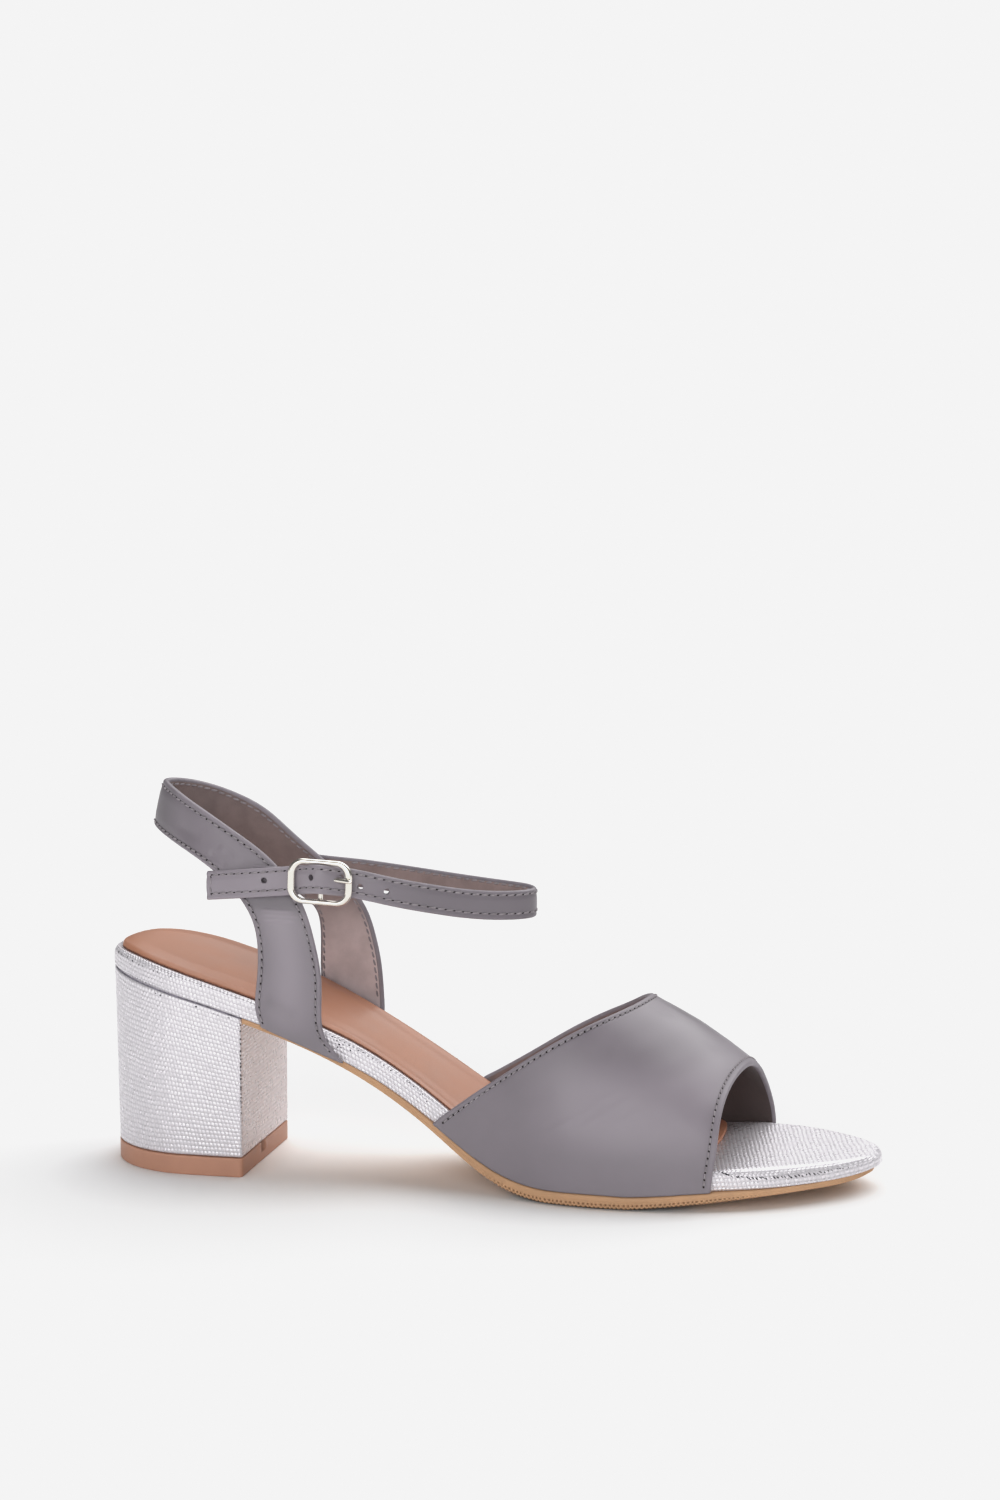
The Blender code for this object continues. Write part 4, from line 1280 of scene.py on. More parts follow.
class SANDAL_OT_vamp(bpy.types.Operator):
    """Build the peep-toe vamp with its lining, rounded edges and creases"""

    bl_idname = "sandal.vamp"
    bl_label = "Vamp"

    def execute(self, context):
        sizes = context.scene.sandal_sizes
        wall, inset = millimetres(sizes.vamp_wall), millimetres(sizes.stitch_inset)
        radius = wall / 2
        points, normals = vamp_lattice(radius)
        outer = points + vamp_relief(points, inset - radius)[..., None] * normals
        inner = points - wall * normals
        middle = points - radius * normals
        forward = unit(np.gradient(points, axis=1))
        toe = edge_turn(middle[:, -1], normals[:, -1], forward[:, -1], radius, EDGE_TURNS)
        throat = edge_turn(middle[:, 0], -normals[:, 0], -forward[:, 0], radius, EDGE_TURNS)
        edges = [np.stack(edge, axis=1) for edge in (toe, throat)]
        rings = np.concatenate([outer, edges[0], inner[:, ::-1], edges[1]], axis=1)
        rim = np.zeros(rings.shape[:2])
        rim[:, VAMP_PLACES - 1 : VAMP_PLACES + EDGE_TURNS + 1] = 0.6
        rim[:, 2 * VAMP_PLACES + EDGE_TURNS - 1 :] = 0.6
        rim[:, 0] = 0.6
        x, z = rings[..., 0], rings[..., 2]
        # tone: painted light, lightening the middle band of the vamp's outer side
        lengthways = smooth(128.0, 158.0, x) * smooth(196.0, 186.0, x)
        marks = {"rim": rim, "tone": 0.8 * lengthways * smooth(13.0, 26.0, z) * smooth(46.0, 33.0, z)}
        finishes = [finish(satin_leather), finish(leather_edge), finish(vamp_lining)]
        piece = add_rings("vamp_upper", rings, finishes, "grey_leather", face_strips(VAMP_PLACES), marks)
        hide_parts("vamp")
        return {"FINISHED"}


# Straps

BAND_ROWS = 620
OUTER_RUN = -18.0  # y below which the ankle strap runs on the outer side
PUNCH_REACH = 2.6
PIN_HOLE_WIDER = 1.4  # times the radius of a strap hole


def run_through(rows, count):
    """Evenly spaced readings of a table of points, or of pairs of points, on a curve through its rows."""
    table = np.array(rows, float)
    middle = table.reshape(len(table), -1, 3).mean(axis=1)
    knots = arc_length(middle)
    at = np.linspace(0.0, knots[-1], count)
    return np.stack([spline(knots, column)(at) for column in table.T], axis=-1)


def sling_edges():
    """Lower and upper edge of the sling, brought down to the outsole at both ends."""
    spots = run_through(SLING, BAND_ROWS)
    low, high = spots[:, :3], spots[:, 3:]
    for end in (0, -1):
        for edge in (low, high):
            edge[end, 2] = outsole_top(edge[end, 0]) + GAP / 2
    return low, high


def strap_edges(width):
    """Lower and upper edge of the ankle strap."""
    spots = run_through(ANKLE, BAND_ROWS)
    half = np.array((0.0, 0.0, width / 2))
    return spots - half, spots + half


def band_frame(low, high):
    """Directions of a strap: outward from the ankle, and across it from the lower to the upper edge."""
    run = np.gradient(low + high, axis=0)
    across = unit(high - low)
    out = unit(-np.cross(run, across))
    return out, across


def band_line(low, high, share_of_edge, inset, depth):
    """A line along a strap, inset from its lower (0) or upper (1) edge and lifted outward by depth."""
    out, across = band_frame(low, high)
    edge, sign = (high, -1) if share_of_edge else (low, 1)
    return edge + sign * inset * across + depth * out, out


def band_rings(low, high, thickness, faces, relief):
    """Rings, finishes and rim marks of a strap; relief(points, from lower, from upper) lifts its face."""
    out, across = band_frame(low, high)
    radius = thickness / 2
    bottom, top = low + radius * across, high - radius * across
    shares = np.linspace(0, 1, faces)
    width = np.linalg.norm(top - bottom, axis=-1)
    middle = bottom[:, None] + shares[:, None] * (top - bottom)[:, None]
    from_low = radius + shares * width[:, None]
    from_high = radius + (1 - shares) * width[:, None]
    lift = relief(middle, from_low, from_high)
    outer = middle + (radius + lift)[..., None] * out[:, None]
    inner = middle - radius * out[:, None]
    upper = np.stack(edge_turn(top, out, across, radius, EDGE_TURNS), axis=1)
    lower = np.stack(edge_turn(bottom, -out, -across, radius, EDGE_TURNS), axis=1)
    rings = np.concatenate([outer, upper, inner[:, ::-1], lower], axis=1)
    rim = np.zeros(rings.shape[:2])
    rim[:, faces : faces + EDGE_TURNS] = 0.7
    rim[:, 2 * faces + EDGE_TURNS :] = 0.7
    return rings, face_strips(faces), rim


class SANDAL_OT_sling(bpy.types.Operator):
    """Build the heel sling with its lining and creases"""

    bl_idname = "sandal.sling"
    bl_label = "Heel sling"

    def execute(self, context):
        sizes = context.scene.sandal_sizes
        inset = millimetres(sizes.stitch_inset)

        def relief(points, from_low, from_high):
            outer_side = smooth(0.0, -6.0, points[..., 1])
            creases = outer_side * crease_relief(points, SLING_CREASES)
            pillow = 0.16 * smooth(inset, 4.5, np.minimum(from_low, from_high))
            x, z = points[..., 0], points[..., 2]
            slow = 0.07 * np.sin(0.3 * z + 0.2 * x) * np.sin(0.25 * x + 0.8)
            return creases + pillow + slow + seam_groove(from_low, inset) + seam_groove(from_high, inset)

        low, high = sling_edges()
        rings, column_finish, rim = band_rings(low, high, millimetres(sizes.sling_thickness), 40, relief)
        finishes = [finish(satin_leather), finish(leather_edge), finish(sling_lining)]
        x, y, z = rings[..., 0], rings[..., 1], rings[..., 2]
        # tone: painted sheen down the middle of the outer leg, painted shading along its creases, a painted
        # shadow by the ankle strap, painted shade on the back, and painted light high on the outer side
        middle, half = (low + high) / 2, np.linalg.norm(high - low, axis=-1) / 2
        across = np.linalg.norm(rings - middle[:, None], axis=-1) / half[:, None]
        painted_sheen = 0.95 - 0.75 * smooth(0.05, 0.85, across)
        painted_crease_shading = 2.4 * crease_relief(rings, SLING_CREASES) - 0.6 * smooth(81.0, 84.0, z)
        upright = painted_sheen * smooth(84.0, 78.0, z) * smooth(42.0, 54.0, z)
        leg = (upright + painted_crease_shading) * smooth(90.0, 86.0, z) * (y < 0)
        back = 0.6 * smooth(27.0, 17.0, x)
        side = 0.3 * smooth(28.0, 34.0, x) * smooth(88.0, 94.0, z) * (y < 0)
        marks = {"rim": rim, "tone": leg + side - back}
        piece = add_rings("heel_sling", rings, finishes, "grey_leather", column_finish, marks)
        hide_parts("heel_and_ankle_straps")
        return {"FINISHED"}


class SANDAL_OT_ankle_strap(bpy.types.Operator):
    """Build the ankle strap with its punched holes"""

    bl_idname = "sandal.ankle_strap"
    bl_label = "Ankle strap"

    def execute(self, context):
        sizes = context.scene.sandal_sizes
        inset = millimetres(sizes.stitch_inset)

        def relief(points, from_low, from_high):
            pillow = 0.10 * smooth(inset, 3.6, np.minimum(from_low, from_high))
            return pillow + seam_groove(from_low, inset) + seam_groove(from_high, inset)

        low, high = strap_edges(millimetres(sizes.strap_width))
        rings, column_finish, rim = band_rings(low, high, millimetres(sizes.strap_thickness), 20, relief)
        finishes = [finish(satin_leather), finish(leather_edge), finish(strap_lining)]
        x, y = rings[..., 0], rings[..., 1]
        # tone: painted light on the back part of the outer run, painted shade further forward and on the
        # whole inner side
        tone = np.where(y < 0, 0.85 * smooth(86.0, 66.0, x) - 0.3 * smooth(88.0, 104.0, x), -0.3)
        marks = {"rim": rim, "tone": tone}
        piece = add_rings("ankle_strap", rings, finishes, "grey_leather", column_finish, marks)
        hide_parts("heel_and_ankle_straps")
        self.punch(piece, low, high, millimetres(sizes.hole_radius))
        return {"FINISHED"}

    def punch(self, strap, low, high, radius):
        """Cuts the punched holes, with the prong's wider one, through the strap."""
        middle, out = (low + high) / 2, band_frame(low, high)[0]
        near = middle[:, 1] < OUTER_RUN
        shells = []
        holes = [(*hole, radius) for hole in STRAP_HOLES]
        holes.append((*PIN_HOLE, PIN_HOLE_WIDER * radius))
        for x, z, half in holes:
            i = np.abs(np.where(near, middle[:, 0] - x, np.inf)).argmin()
            spot = np.array((x, middle[i, 1], z))
            path = spot + np.linspace(-PUNCH_REACH, PUNCH_REACH, 4)[:, None] * out[i]
            shells.append(shell(tube(path, np.full(4, half), 20)))
        points, faces = joined(shells)
        data = bpy.data.meshes.new("strap_punch")
        data.from_pydata((points * MM + LAST_ORIGIN).tolist(), [], faces)
        data.materials.append(finish(leather_edge))
        cutter = bpy.data.objects.new("strap_punch", data)
        bpy.context.scene.collection.objects.link(cutter)
        cut = strap.modifiers.new("punch", "BOOLEAN")
        cut.object = cutter
        cut.operation = "DIFFERENCE"
        cut.solver = "EXACT"
        graph = bpy.context.evaluated_depsgraph_get()
        punched = bpy.data.meshes.new_from_object(strap.evaluated_get(graph), depsgraph=graph)
        strap.modifiers.clear()
        strap.data = punched
        bpy.data.objects.remove(cutter)


# Buckle

FRAME_THICKNESS = 1.7
FRAME_CORNER = 4.8
FRAME_WIDTH = (1.6, 2.25)  # of the long bars, and of the end bars
CENTRE_BAR_RADIUS = 0.7
PRONG_LOOP = (1.25, 0.5)  # radius of the loop round the centre bar, and of its wire
PRONG_RADIUS = (0.98, 0.64)  # at the loop and near the tip


def rounded_rectangle(size_x, size_z, corner, per_corner):
    """Points and outward directions round a rectangle with round corners."""
    points, outs = [], []
    for quarter, (sx, sz) in enumerate(((1, 1), (-1, 1), (-1, -1), (1, -1))):
        turn = np.pi / 2 * (quarter + np.linspace(0, 1, per_corner))
        out = np.stack([np.cos(turn), 0 * turn, np.sin(turn)], -1)
        points.append(np.array((sx * (size_x / 2 - corner), 0.0, sz * (size_z / 2 - corner))) + corner * out)
        outs.append(out)
    return np.concatenate(points), np.concatenate(outs)


def prong_seat():
    """Where the prong's loop sits on the centre bar."""
    return np.array((BUCKLE_CENTRE[0], BUCKLE_CENTRE[1] + CENTRE_BAR_SINK, PRONG_TIP[2]))


def tilted(points):
    """Points turned with the buckle's frame, whose front end hangs a little lower."""
    x, y, z = (points - BUCKLE_CENTRE).T
    turned_x = x * math.cos(BUCKLE_TILT) + z * math.sin(BUCKLE_TILT)
    turned_z = z * math.cos(BUCKLE_TILT) - x * math.sin(BUCKLE_TILT)
    return BUCKLE_CENTRE + np.stack([turned_x, y, turned_z], -1)


def prong_line():
    """Middle line of the prong's pin, from the centre bar through its hole to its tip on the front bar."""
    start = prong_seat() + np.array((1.0, -0.2, 0.0))
    share = np.linspace(0, 1, 24)
    return start + np.stack([share, share**1.5, share], -1) * (PRONG_TIP - start)


class SANDAL_OT_buckle(bpy.types.Operator):
    """Build the buckle's frame and prong, and finish its tab"""

    bl_idname = "sandal.buckle"
    bl_label = "Buckle"

    def execute(self, context):
        sizes = context.scene.sandal_sizes
        self.build_frame(millimetres(sizes.buckle_length), millimetres(sizes.buckle_height))
        self.build_prong()
        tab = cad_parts["buckle_tab"]
        tab.data.materials.clear()
        tab.data.materials.append(finish(satin_leather))
        return {"FINISHED"}

    def build_frame(self, size_x, size_z):
        """A flattened bar bent into a rounded rectangle, with the centre bar across its back."""
        rim, out = rounded_rectangle(size_x, size_z, FRAME_CORNER, 20)
        width = FRAME_WIDTH[0] + (FRAME_WIDTH[1] - FRAME_WIDTH[0]) * np.abs(out[:, :1])
        line = rim - out * width / 2
        turn = np.linspace(0, 2 * np.pi, 24, endpoint=False)
        in_plane = np.cos(turn) * width / 2
        depth = np.sin(turn) * FRAME_THICKNESS / 2
        rings = BUCKLE_CENTRE + line[:, None] + in_plane[..., None] * out[:, None]
        rings = rings + depth[:, None] * np.array((0.0, 1.0, 0.0))
        rings = np.concatenate([rings, rings[:1]])
        rows, around = rings.shape[:2]
        wrap = (rows - 1) * around
        faces = [[i % wrap for i in face] for face in lattice(rings, caps=False)[0]]
        points = rings[:-1].reshape(-1, 3)
        bent_bar = points, facing_out(points, faces)
        reach = np.array((0.0, CENTRE_BAR_SINK, size_z / 2 - width.min() / 2))
        ends = [BUCKLE_CENTRE + reach * (1, 1, side) for side in (-1, 1)]
        bar_path = np.linspace(ends[0], ends[1], 12)
        centre_bar = shell(tube(bar_path, np.full(12, CENTRE_BAR_RADIUS), 16, up=(0, 1, 0)))
        points, faces = joined([bent_bar, centre_bar])
        metal = [finish(polished_nickel)]
        piece = add_piece("buckle_frame_bar", tilted(points), faces, metal, "pale_nickel")
        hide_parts("buckle_frame")

    def build_prong(self):
        """A loop round the centre bar, drawn out into a tapered pin that rests on the front bar."""
        turn = np.linspace(np.radians(35), np.radians(325), 30)
        loop = prong_seat() + PRONG_LOOP[0] * np.stack([np.cos(turn), -np.sin(turn), 0 * turn], -1)
        pin = prong_line()
        share = np.linspace(0, 1, len(pin))
        taper = PRONG_RADIUS[0] + (PRONG_RADIUS[1] - PRONG_RADIUS[0]) * share
        pin_radius = taper * np.sqrt(np.clip(1 - share**14, 0.02, 1.0))
        bars = [tube(loop, np.full(len(loop), PRONG_LOOP[1]), 12), tube(pin, pin_radius, 14)]
        points, faces = joined([shell(bar) for bar in bars])
        metal = [finish(polished_nickel)]
        piece = add_piece("buckle_pin", points, faces, metal, "pale_nickel")
        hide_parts("buckle_prong")


# Seams

THREAD_SINK = 0.06
THREAD_SLANT = 0.16
PIT_SLANT = 0.25
LENS_SIDES = 8
LENS_HEIGHTS = (0.05, -0.15)  # of its peak and its root


def along_line(line, values, at):
    """Readings of values at distances along a line."""
    distance = arc_length(line)
    return np.stack([np.interp(at, distance, column) for column in values.T], axis=-1)


def seam_shells(line, normals, pitch, pit, radius):
    """Threads and needle holes along a seam, each as points and faces."""
    total = arc_length(line)[-1]
    count = int(total // pitch)
    first = (total - count * pitch) / 2
    centres = first + (np.arange(count) + 0.5) * pitch
    thread_length = pitch - 1.2 * pit[0]
    middle = along_line(line, line, centres)
    normal = unit(along_line(line, normals, centres))
    ahead = along_line(line, line, centres + thread_length / 2)
    behind = along_line(line, line, centres - thread_length / 2)
    run = unit(ahead - behind)
    side = unit(np.cross(normal, run))
    slant = unit(run + THREAD_SLANT * side)
    side = unit(np.cross(normal, slant))
    stretch = np.array((-1.0, -0.86, -0.45, 0.0, 0.45, 0.86, 1.0))
    fat = np.array((0.35, 0.8, 1.0, 1.05, 1.0, 0.8, 0.35))
    lift = radius * (0.7 * (1 - stretch**2) - 0.13)
    turn = np.linspace(0, 2 * np.pi, 6, endpoint=False)
    spots = (
        middle[:, None, None]
        + (stretch * thread_length / 2)[None, :, None, None] * slant[:, None, None]
        + (fat[:, None] * np.cos(turn) * radius * 1.15)[None, ..., None] * side[:, None, None]
        + (lift[:, None] + fat[:, None] * np.sin(turn) * radius)[None, ..., None] * normal[:, None, None]
    )
    stitch, stitch_faces = shell(spots[0])
    threads = joined([(spots[i].reshape(stitch.shape), stitch_faces) for i in range(count)])
    return threads, needle_pits(line, normals, first + np.arange(count + 1) * pitch, pit)


def needle_pits(line, normals, at, pit):
    """Small dark pits between the stitches, with these half sizes along and across the seam."""
    at = np.clip(at, 0.0, arc_length(line)[-1])
    middle, normal = along_line(line, line, at), unit(along_line(line, normals, at))
    run = unit(along_line(line, line, at + 0.3) - along_line(line, line, at - 0.3))
    side = unit(np.cross(normal, run))
    return flat_lenses(middle, normal, unit(run + PIT_SLANT * side), np.tile(pit, (len(at), 1)))


def flat_lenses(middle, normal, long_way, halves):
    """Closed flat lenses on a surface, each with its own half length and half width."""
    short_way = unit(np.cross(normal, long_way))
    turn = np.linspace(0, 2 * np.pi, LENS_SIDES, endpoint=False)
    rim = (
        middle[:, None]
        + (halves[:, :1] * np.cos(turn))[..., None] * long_way[:, None]
        + (halves[:, 1:] * np.sin(turn))[..., None] * short_way[:, None]
    )
    top, bottom = (middle + height * normal for height in LENS_HEIGHTS)
    points = np.concatenate([rim, top[:, None], bottom[:, None]], axis=1)
    faces = []
    for lens in range(len(middle)):
        start = lens * (LENS_SIDES + 2)
        peak, root = start + LENS_SIDES, start + LENS_SIDES + 1
        for k in range(LENS_SIDES):
            spot, beside = start + k, start + (k + 1) % LENS_SIDES
            faces.append([spot, beside, peak])
            faces.append([beside, spot, root])
    return points.reshape(-1, 3), faces


def add_seams(name, seams, radius):
    """One piece of sewing: the threads and needle holes of seams given as line, normals, pitch and pit."""
    parts, kinds = [], []
    for seam in seams:
        for kind, part in enumerate(seam_shells(*seam, radius)):
            parts.append(part)
            kinds += [kind] * len(part[1])
    points, faces = joined(parts)
    finishes = [finish(sewing_thread), finish(needle_hole)]
    return add_piece(name, points, faces, finishes, "grey_leather", kinds)


class SANDAL_OT_stitching(bpy.types.Operator):
    """Sew the seams of the vamp, the sling and the ankle strap"""

    bl_idname = "sandal.stitching"
    bl_label = "Stitching"

    def execute(self, context):
        sizes = context.scene.sandal_sizes
        pitch, radius = millimetres(sizes.stitch_pitch), millimetres(sizes.thread_radius)
        inset = millimetres(sizes.stitch_inset)
        add_seams("vamp_stitching", self.vamp_seams(inset, pitch), radius)
        sling_thickness = millimetres(sizes.sling_thickness)
        add_seams("sling_stitching", self.sling_seams(inset, pitch, sling_thickness), radius)
        strap_thickness, strap_width = millimetres(sizes.strap_thickness), millimetres(sizes.strap_width)
        add_seams("strap_stitching", self.strap_seams(inset, pitch, strap_thickness, strap_width), radius)
        return {"FINISHED"}

    def vamp_seams(self, inset, pitch):
        """Seams along the throat and the toe opening, from the outer to the inner sole."""
        throat = 0, inset + 0.1, 0.1, (0.4, 0.32)
        toe = -1, inset + 0.7, -THREAD_SINK, (0.4, 0.3)
        seams = []
        for end, row, sunk, pit in (throat, toe):
            points, normals = vamp_lattice(row, 60)
            inside = slice(4, -4)
            line = points[inside, end] - sunk * normals[inside, end]
            seams.append((line, normals[inside, end], 0.82 * pitch, pit))
        return seams

    def sling_seams(self, inset, pitch, thickness):
        """Seams along both edges, on the leather and on the lining."""
        low, high = sling_edges()
        seams = []
        for edge in (0, 1):
            for face in (1, -1):
                row = inset + 0.3 * edge - 0.1
                line, out = band_line(low, high, edge, row, face * (thickness / 2 - THREAD_SINK))
                seams.append((line[6:-6], face * out[6:-6], 0.93 * pitch, (0.38, 0.28)))
        return seams

    def strap_seams(self, inset, pitch, thickness, width):
        """Seams along both edges and across the free end."""
        low, high = strap_edges(width)
        seams = []
        end = -6
        pit = 0.46, 0.22
        for edge in (0, 1):
            for face in (1, -1):
                row = inset - 0.4 if edge else inset + 0.4
                line, out = band_line(low, high, edge, row, face * (thickness / 2 - THREAD_SINK))
                seams.append((line[60:end], face * out[60:end], 1.04 * pitch, pit))
        out, across = band_frame(low, high)
        outward = (thickness / 2 - THREAD_SINK) * out[end]
        start = low[end] + inset * across[end] + outward
        stop = high[end] - inset * across[end] + outward
        seams.append((np.linspace(start, stop, 12), np.tile(out[end], (12, 1)), pitch, (0.4, 0.22)))
        return seams


# Cracks in the foil

TOE_FOLD_SPAN = (193.5, 231.5)
TOE_FOLD_PITCH = 0.95
CRACK_LIFT = 0.02
NUDGE = 0.1
# x along the outer side and drop below the footbed's edge: the toe's fold, then single marks
TOE_FOLD = columns("drop", (193, 0.3), (200, 2.2), (209, 2.8), (217, 2.7), (227, 2.0), (232, 1.7))["drop"]
WRAP_MARKS = (
    (5.2, 1.0), (6.9, 1.2), (9.5, 1.1), (11.8, 1.5), (14.2, 1.9), (15.6, 1.8), (19.6, 1.9), (21.0, 1.7),
    (25.4, 1.4), (34.9, 1.2), (45.8, 0.9), (74.6, 0.9), (75.1, 1.7), (75.5, 0.8), (75.7, 2.5), (76.1, 1.5),
    (76.3, 3.3), (76.8, 2.2), (76.9, 0.9), (77.3, 3.0), (77.6, 4.1), (78.0, 1.8), (78.3, 0.9), (79.7, 1.0),
    (80.2, 2.3), (81.1, 0.9), (82.5, 1.1), (83.9, 0.9), (85.4, 1.1), (86.9, 1.0), (88.4, 1.1), (90.2, 0.8),
    (92.3, 1.0), (98.0, 0.7), (99.4, 0.9), (101.5, 1.6), (102.3, 1.0), (103.6, 2.2),
)
# x along the outer side and drop below the outsole's top line, on the heel block
SEAT_MARKS = ((20.4, 1.5), (22.1, 1.5), (33.3, 1.4), (38.8, 1.7), (40.1, 1.6), (43.4, 1.3))


def wrap_side(x, drop):
    """Points, outward normals and forward directions on the footbed's outer side."""
    corner = bed_corner(x)
    turn = np.arcsin(np.clip(1 - drop / corner, 0.0, 1.0))
    inset = PROFILE["inset"](x)
    slope = (sole_edges(x + NUDGE, inset)[0] - sole_edges(x - NUDGE, inset)[0]) / (2 * NUDGE)
    y = sole_edges(x, inset)[0] + corner * (1 - np.cos(turn))
    forward = unit(np.stack([np.ones_like(x), slope, 0 * x], -1))
    outward = np.stack([forward[:, 1], -forward[:, 0], 0 * x], -1)
    normal = np.cos(turn)[:, None] * outward + np.sin(turn)[:, None] * np.array((0.0, 0.0, 1.0))
    top = bed(x, sole_edges(x, inset)[0] + corner) - roll_off(x)
    return np.stack([x, y, top - drop], -1), normal, forward


def seat_side(x, drop):
    """The same just under the seat of the heel block."""
    rounding = np.minimum((x - HEEL_SEAT_BACK) / HEEL_BLOCK_ROUND, 1.0)
    half = (OUTLINE["half"](x) - HEEL_INSET[1]) * np.sqrt(rounding * (2 - rounding))
    forward = np.tile((1.0, 0.0, 0.0), (len(x), 1))
    normal = np.tile((0.0, -1.0, 0.0), (len(x), 1))
    return np.stack([x, OUTLINE["centre"](x) - half, outsole_top(x) - drop], -1), normal, forward


def breast_corner(z):
    """The same down the outer front corner of the heel block."""
    diagonal = math.sqrt(0.5)
    round_start = HEEL_BREAST - HEEL_CORNER
    share = (z - TIP_HEIGHT) / (outsole_top(HEEL_BREAST) - TIP_HEIGHT)
    inset = HEEL_INSET[0] + share * (HEEL_INSET[1] - HEEL_INSET[0])
    edge = OUTLINE["centre"](round_start) - OUTLINE["half"](round_start) + inset
    x = np.full_like(z, round_start + HEEL_CORNER * diagonal)
    points = np.column_stack([x, edge + HEEL_CORNER * (1 - diagonal), z])
    return points, np.tile((diagonal, -diagonal, 0.0), (len(z), 1)), np.tile((0.0, 0.0, 1.0), (len(z), 1))


class SANDAL_OT_cracks(bpy.types.Operator):
    """Mark the cracks where the foil is folded"""

    bl_idname = "sandal.cracks"
    bl_label = "Foil cracks"

    def execute(self, context):
        chance = np.random.default_rng(11)
        x = np.arange(*TOE_FOLD_SPAN, TOE_FOLD_PITCH)
        x = x + chance.uniform(-0.3, 0.3, len(x))
        fold = wrap_side(x, TOE_FOLD(x) + chance.uniform(-0.25, 0.25, len(x)))
        wrap = wrap_side(*np.array(WRAP_MARKS).T)
        seat = seat_side(*np.array(SEAT_MARKS).T)
        z = np.concatenate([np.arange(20.0, 38.0, 1.15), np.arange(38.5, 47.0, 2.1)])
        corner = breast_corner(z + chance.uniform(-0.4, 0.4, len(z)))
        marks = (
            # places, lean, half length and half width
            (fold, -0.8, (0.62, 0.24)),
            (wrap, -0.4, (0.36, 0.22)),
            (seat, -0.2, (0.42, 0.2)),
            (corner, 0.2, (0.42, 0.26)),
        )
        cracks = []
        for (middle, normal, forward), slant, sizes in marks:
            up = unit(np.cross(normal, forward))
            up = up * np.where(up[:, 2:] < 0, -1.0, 1.0)
            lean = slant + chance.uniform(-0.3, 0.3, (len(middle), 1))
            halves = np.array(sizes) * chance.uniform(0.45, 1.15, (len(middle), 2))
            long_way = unit(forward + lean * up)
            cracks.append(flat_lenses(middle + CRACK_LIFT * normal, normal, long_way, halves))
        add_piece("foil_cracks", *joined(cracks), [finish(foil_crack)], "silver_foil")
        return {"FINISHED"}


# Stage

CAMERA_SPOT = (488.3, -1518.8, 399.2)
CAMERA_TURN = math.radians(13.6203)
CAMERA_PITCH = math.radians(9.8237)
CAMERA_LENS = 128.3
# direction towards a soft light, its half angle in degrees, and its brightness
SOFT_LIGHTS = (
    ((0.22, 0.50, 0.84), 49.0, 2.7),
    ((-0.02, -0.98, 0.16), 44.0, 2.2),
)
LIGHT_CORE = 0.45  # of a light's half angle, within which it has its full brightness
SKY = 0.13
PAPER_WHITE = 0.905


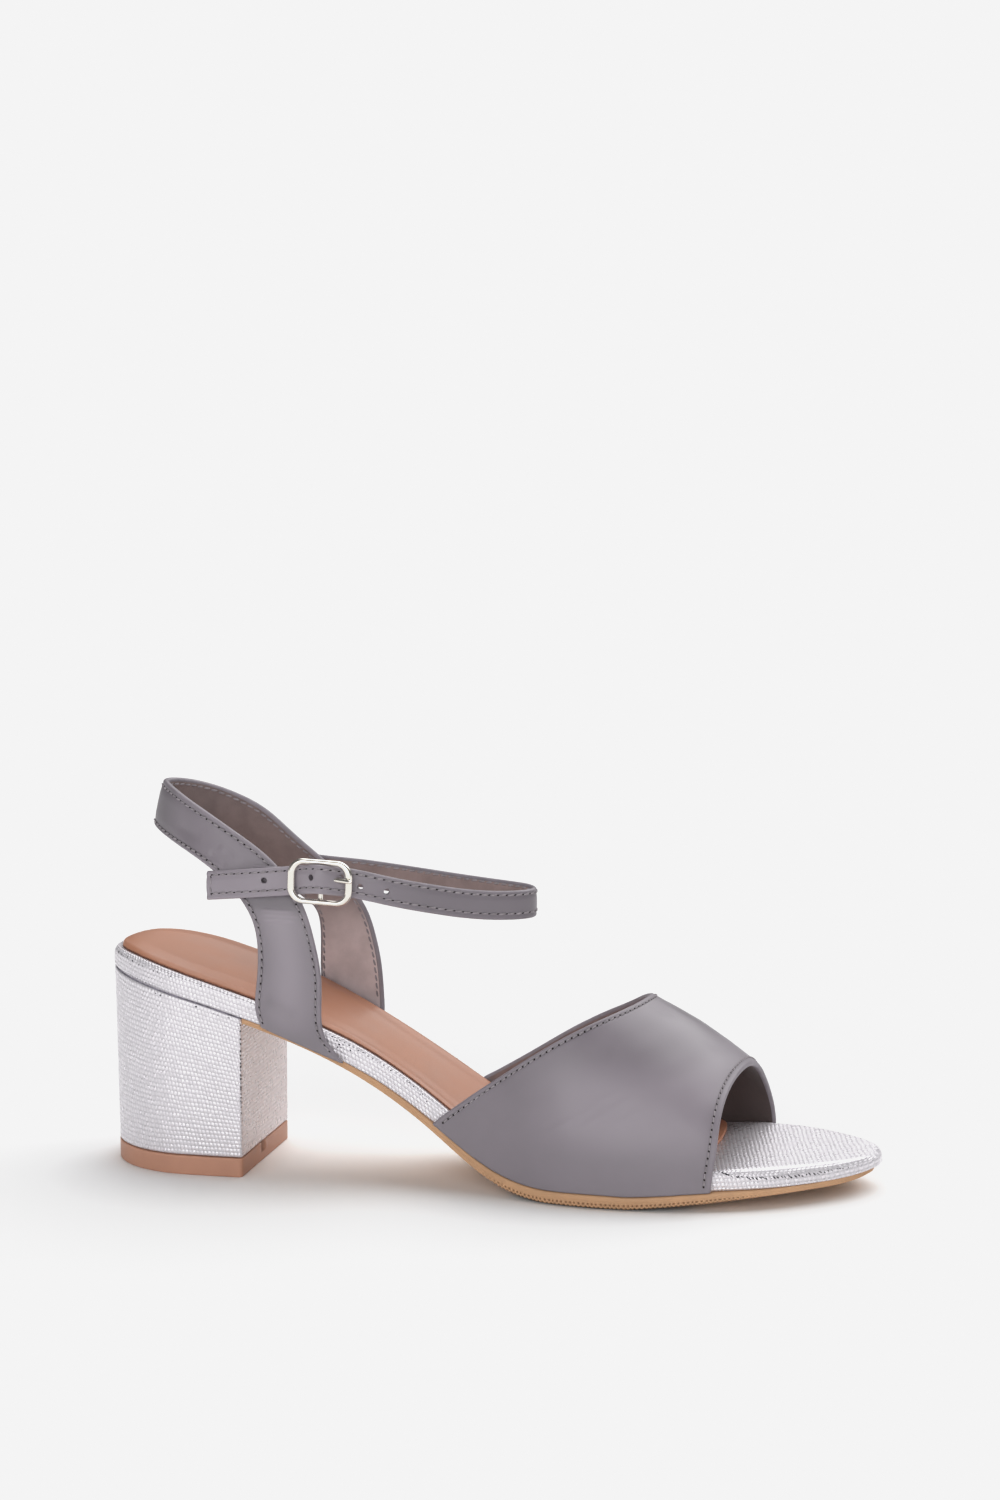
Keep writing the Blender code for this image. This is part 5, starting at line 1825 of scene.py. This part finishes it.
class SANDAL_OT_stage(bpy.types.Operator):
    """Set the pale floor, the soft studio light and the camera"""

    bl_idname = "sandal.stage"
    bl_label = "Stage"

    def execute(self, context):
        self.lay_floor(context.scene.sandal_sizes.floor_size)
        self.light(context.scene)
        self.place_camera(context.scene)
        return {"FINISHED"}

    def lay_floor(self, size):
        """A plain floor that runs out of sight."""
        half = size / 2
        corners = [(-half, -half, 0), (half, -half, 0), (half, half, 0), (-half, half, 0)]
        data = bpy.data.meshes.new("studio_floor")
        data.from_pydata(corners, [], [(0, 1, 2, 3)])
        data.materials.append(finish(studio_paper))
        floor = bpy.data.objects.new("studio_floor", data)
        bpy.context.scene.collection.objects.link(floor)

    def light(self, scene):
        """An even pale surround with broad soft lights in it."""
        world = bpy.data.worlds.new("studio")
        world.use_nodes = True
        scene.world = world
        tree = world.node_tree
        towards = place(tree, "ShaderNodeTexCoord").outputs["Generated"]
        brightness = None
        for direction, half_angle, strength in SOFT_LIGHTS:
            inputs = {0: towards, 1: Vector(direction).normalized()}
            facing = place(tree, "ShaderNodeVectorMath", inputs, operation="DOT_PRODUCT").outputs["Value"]
            edge = math.cos(math.radians(half_angle))
            middle = math.cos(math.radians(LIGHT_CORE * half_angle))
            patch = map_range(tree, facing, edge, middle, 0.0, strength)
            brightness = patch if brightness is None else math_node(tree, "ADD", brightness, patch)
        total = math_node(tree, "ADD", brightness, SKY)
        tree.links.new(total, tree.nodes["Background"].inputs["Strength"])
        tree.nodes["Background"].inputs["Color"].default_value = (1.0, 1.0, 1.0, 1.0)
        self.set_paper_white(scene.view_settings)

    def set_paper_white(self, view):
        """Plain display, with everything brighter than the paper held at the paper's tone."""
        view.view_transform = "Standard"
        view.use_curve_mapping = True
        tone = view.curve_mapping.curves[3]
        tone.points.new(PAPER_WHITE - 0.08, PAPER_WHITE - 0.08)
        tone.points[-1].location = (1.0, PAPER_WHITE)
        for point in tone.points:
            point.handle_type = "VECTOR"
        view.curve_mapping.extend = "HORIZONTAL"
        view.curve_mapping.update()

    def place_camera(self, scene):
        """The camera at the photograph's viewing angle."""
        data = bpy.data.cameras.new("photo_camera")
        data.lens = CAMERA_LENS
        data.sensor_width = 36.0
        data.clip_end = 200.0
        camera = bpy.data.objects.new("photo_camera", data)
        scene.collection.objects.link(camera)
        turn, pitch = CAMERA_TURN, CAMERA_PITCH
        back = Vector((math.sin(turn) * math.cos(pitch), -math.cos(turn) * math.cos(pitch), math.sin(pitch)))
        right = Vector((math.cos(turn), math.sin(turn), 0.0))
        up = back.cross(right)
        spot = np.array(CAMERA_SPOT) * MM + LAST_ORIGIN
        turned = Matrix((right, up, back)).transposed().to_4x4()
        camera.matrix_world = Matrix.Translation(spot.tolist()) @ turned
        scene.camera = camera


class SANDAL_PT_panel(bpy.types.Panel):
    """Buttons and values of the sandal"""

    bl_label = "Heeled sandal"
    bl_idname = "SANDAL_PT_panel"
    bl_space_type = "VIEW_3D"
    bl_region_type = "UI"
    bl_category = "Sandal"

    def draw(self, context):
        for operator in OPERATORS:
            self.layout.operator(operator.bl_idname)
        for values in (context.scene.sandal_sizes, context.scene.sandal_colours):
            box = self.layout.box()
            for name in values.__annotations__:
                box.prop(values, name)


OPERATORS = (
    SANDAL_OT_outsole,
    SANDAL_OT_footbed,
    SANDAL_OT_sock,
    SANDAL_OT_heel,
    SANDAL_OT_vamp,
    SANDAL_OT_sling,
    SANDAL_OT_ankle_strap,
    SANDAL_OT_buckle,
    SANDAL_OT_stitching,
    SANDAL_OT_cracks,
    SANDAL_OT_stage,
)
CLASSES = (SandalSizes, SandalColours, *OPERATORS, SANDAL_PT_panel)


def register():
    for made in CLASSES:
        bpy.utils.register_class(made)
    bpy.types.Scene.sandal_sizes = bpy.props.PointerProperty(type=SandalSizes)
    bpy.types.Scene.sandal_colours = bpy.props.PointerProperty(type=SandalColours)


def unregister():
    del bpy.types.Scene.sandal_sizes
    del bpy.types.Scene.sandal_colours
    for made in reversed(CLASSES):
        bpy.utils.unregister_class(made)


def main():
    """Builds the pieces in order."""
    register()
    bpy.ops.sandal.outsole()
    bpy.ops.sandal.footbed()
    bpy.ops.sandal.sock()
    bpy.ops.sandal.heel()
    bpy.ops.sandal.vamp()
    bpy.ops.sandal.sling()
    bpy.ops.sandal.ankle_strap()
    bpy.ops.sandal.buckle()
    bpy.ops.sandal.stitching()
    bpy.ops.sandal.cracks()
    bpy.ops.sandal.stage()


if __name__ == "__main__":
    main()
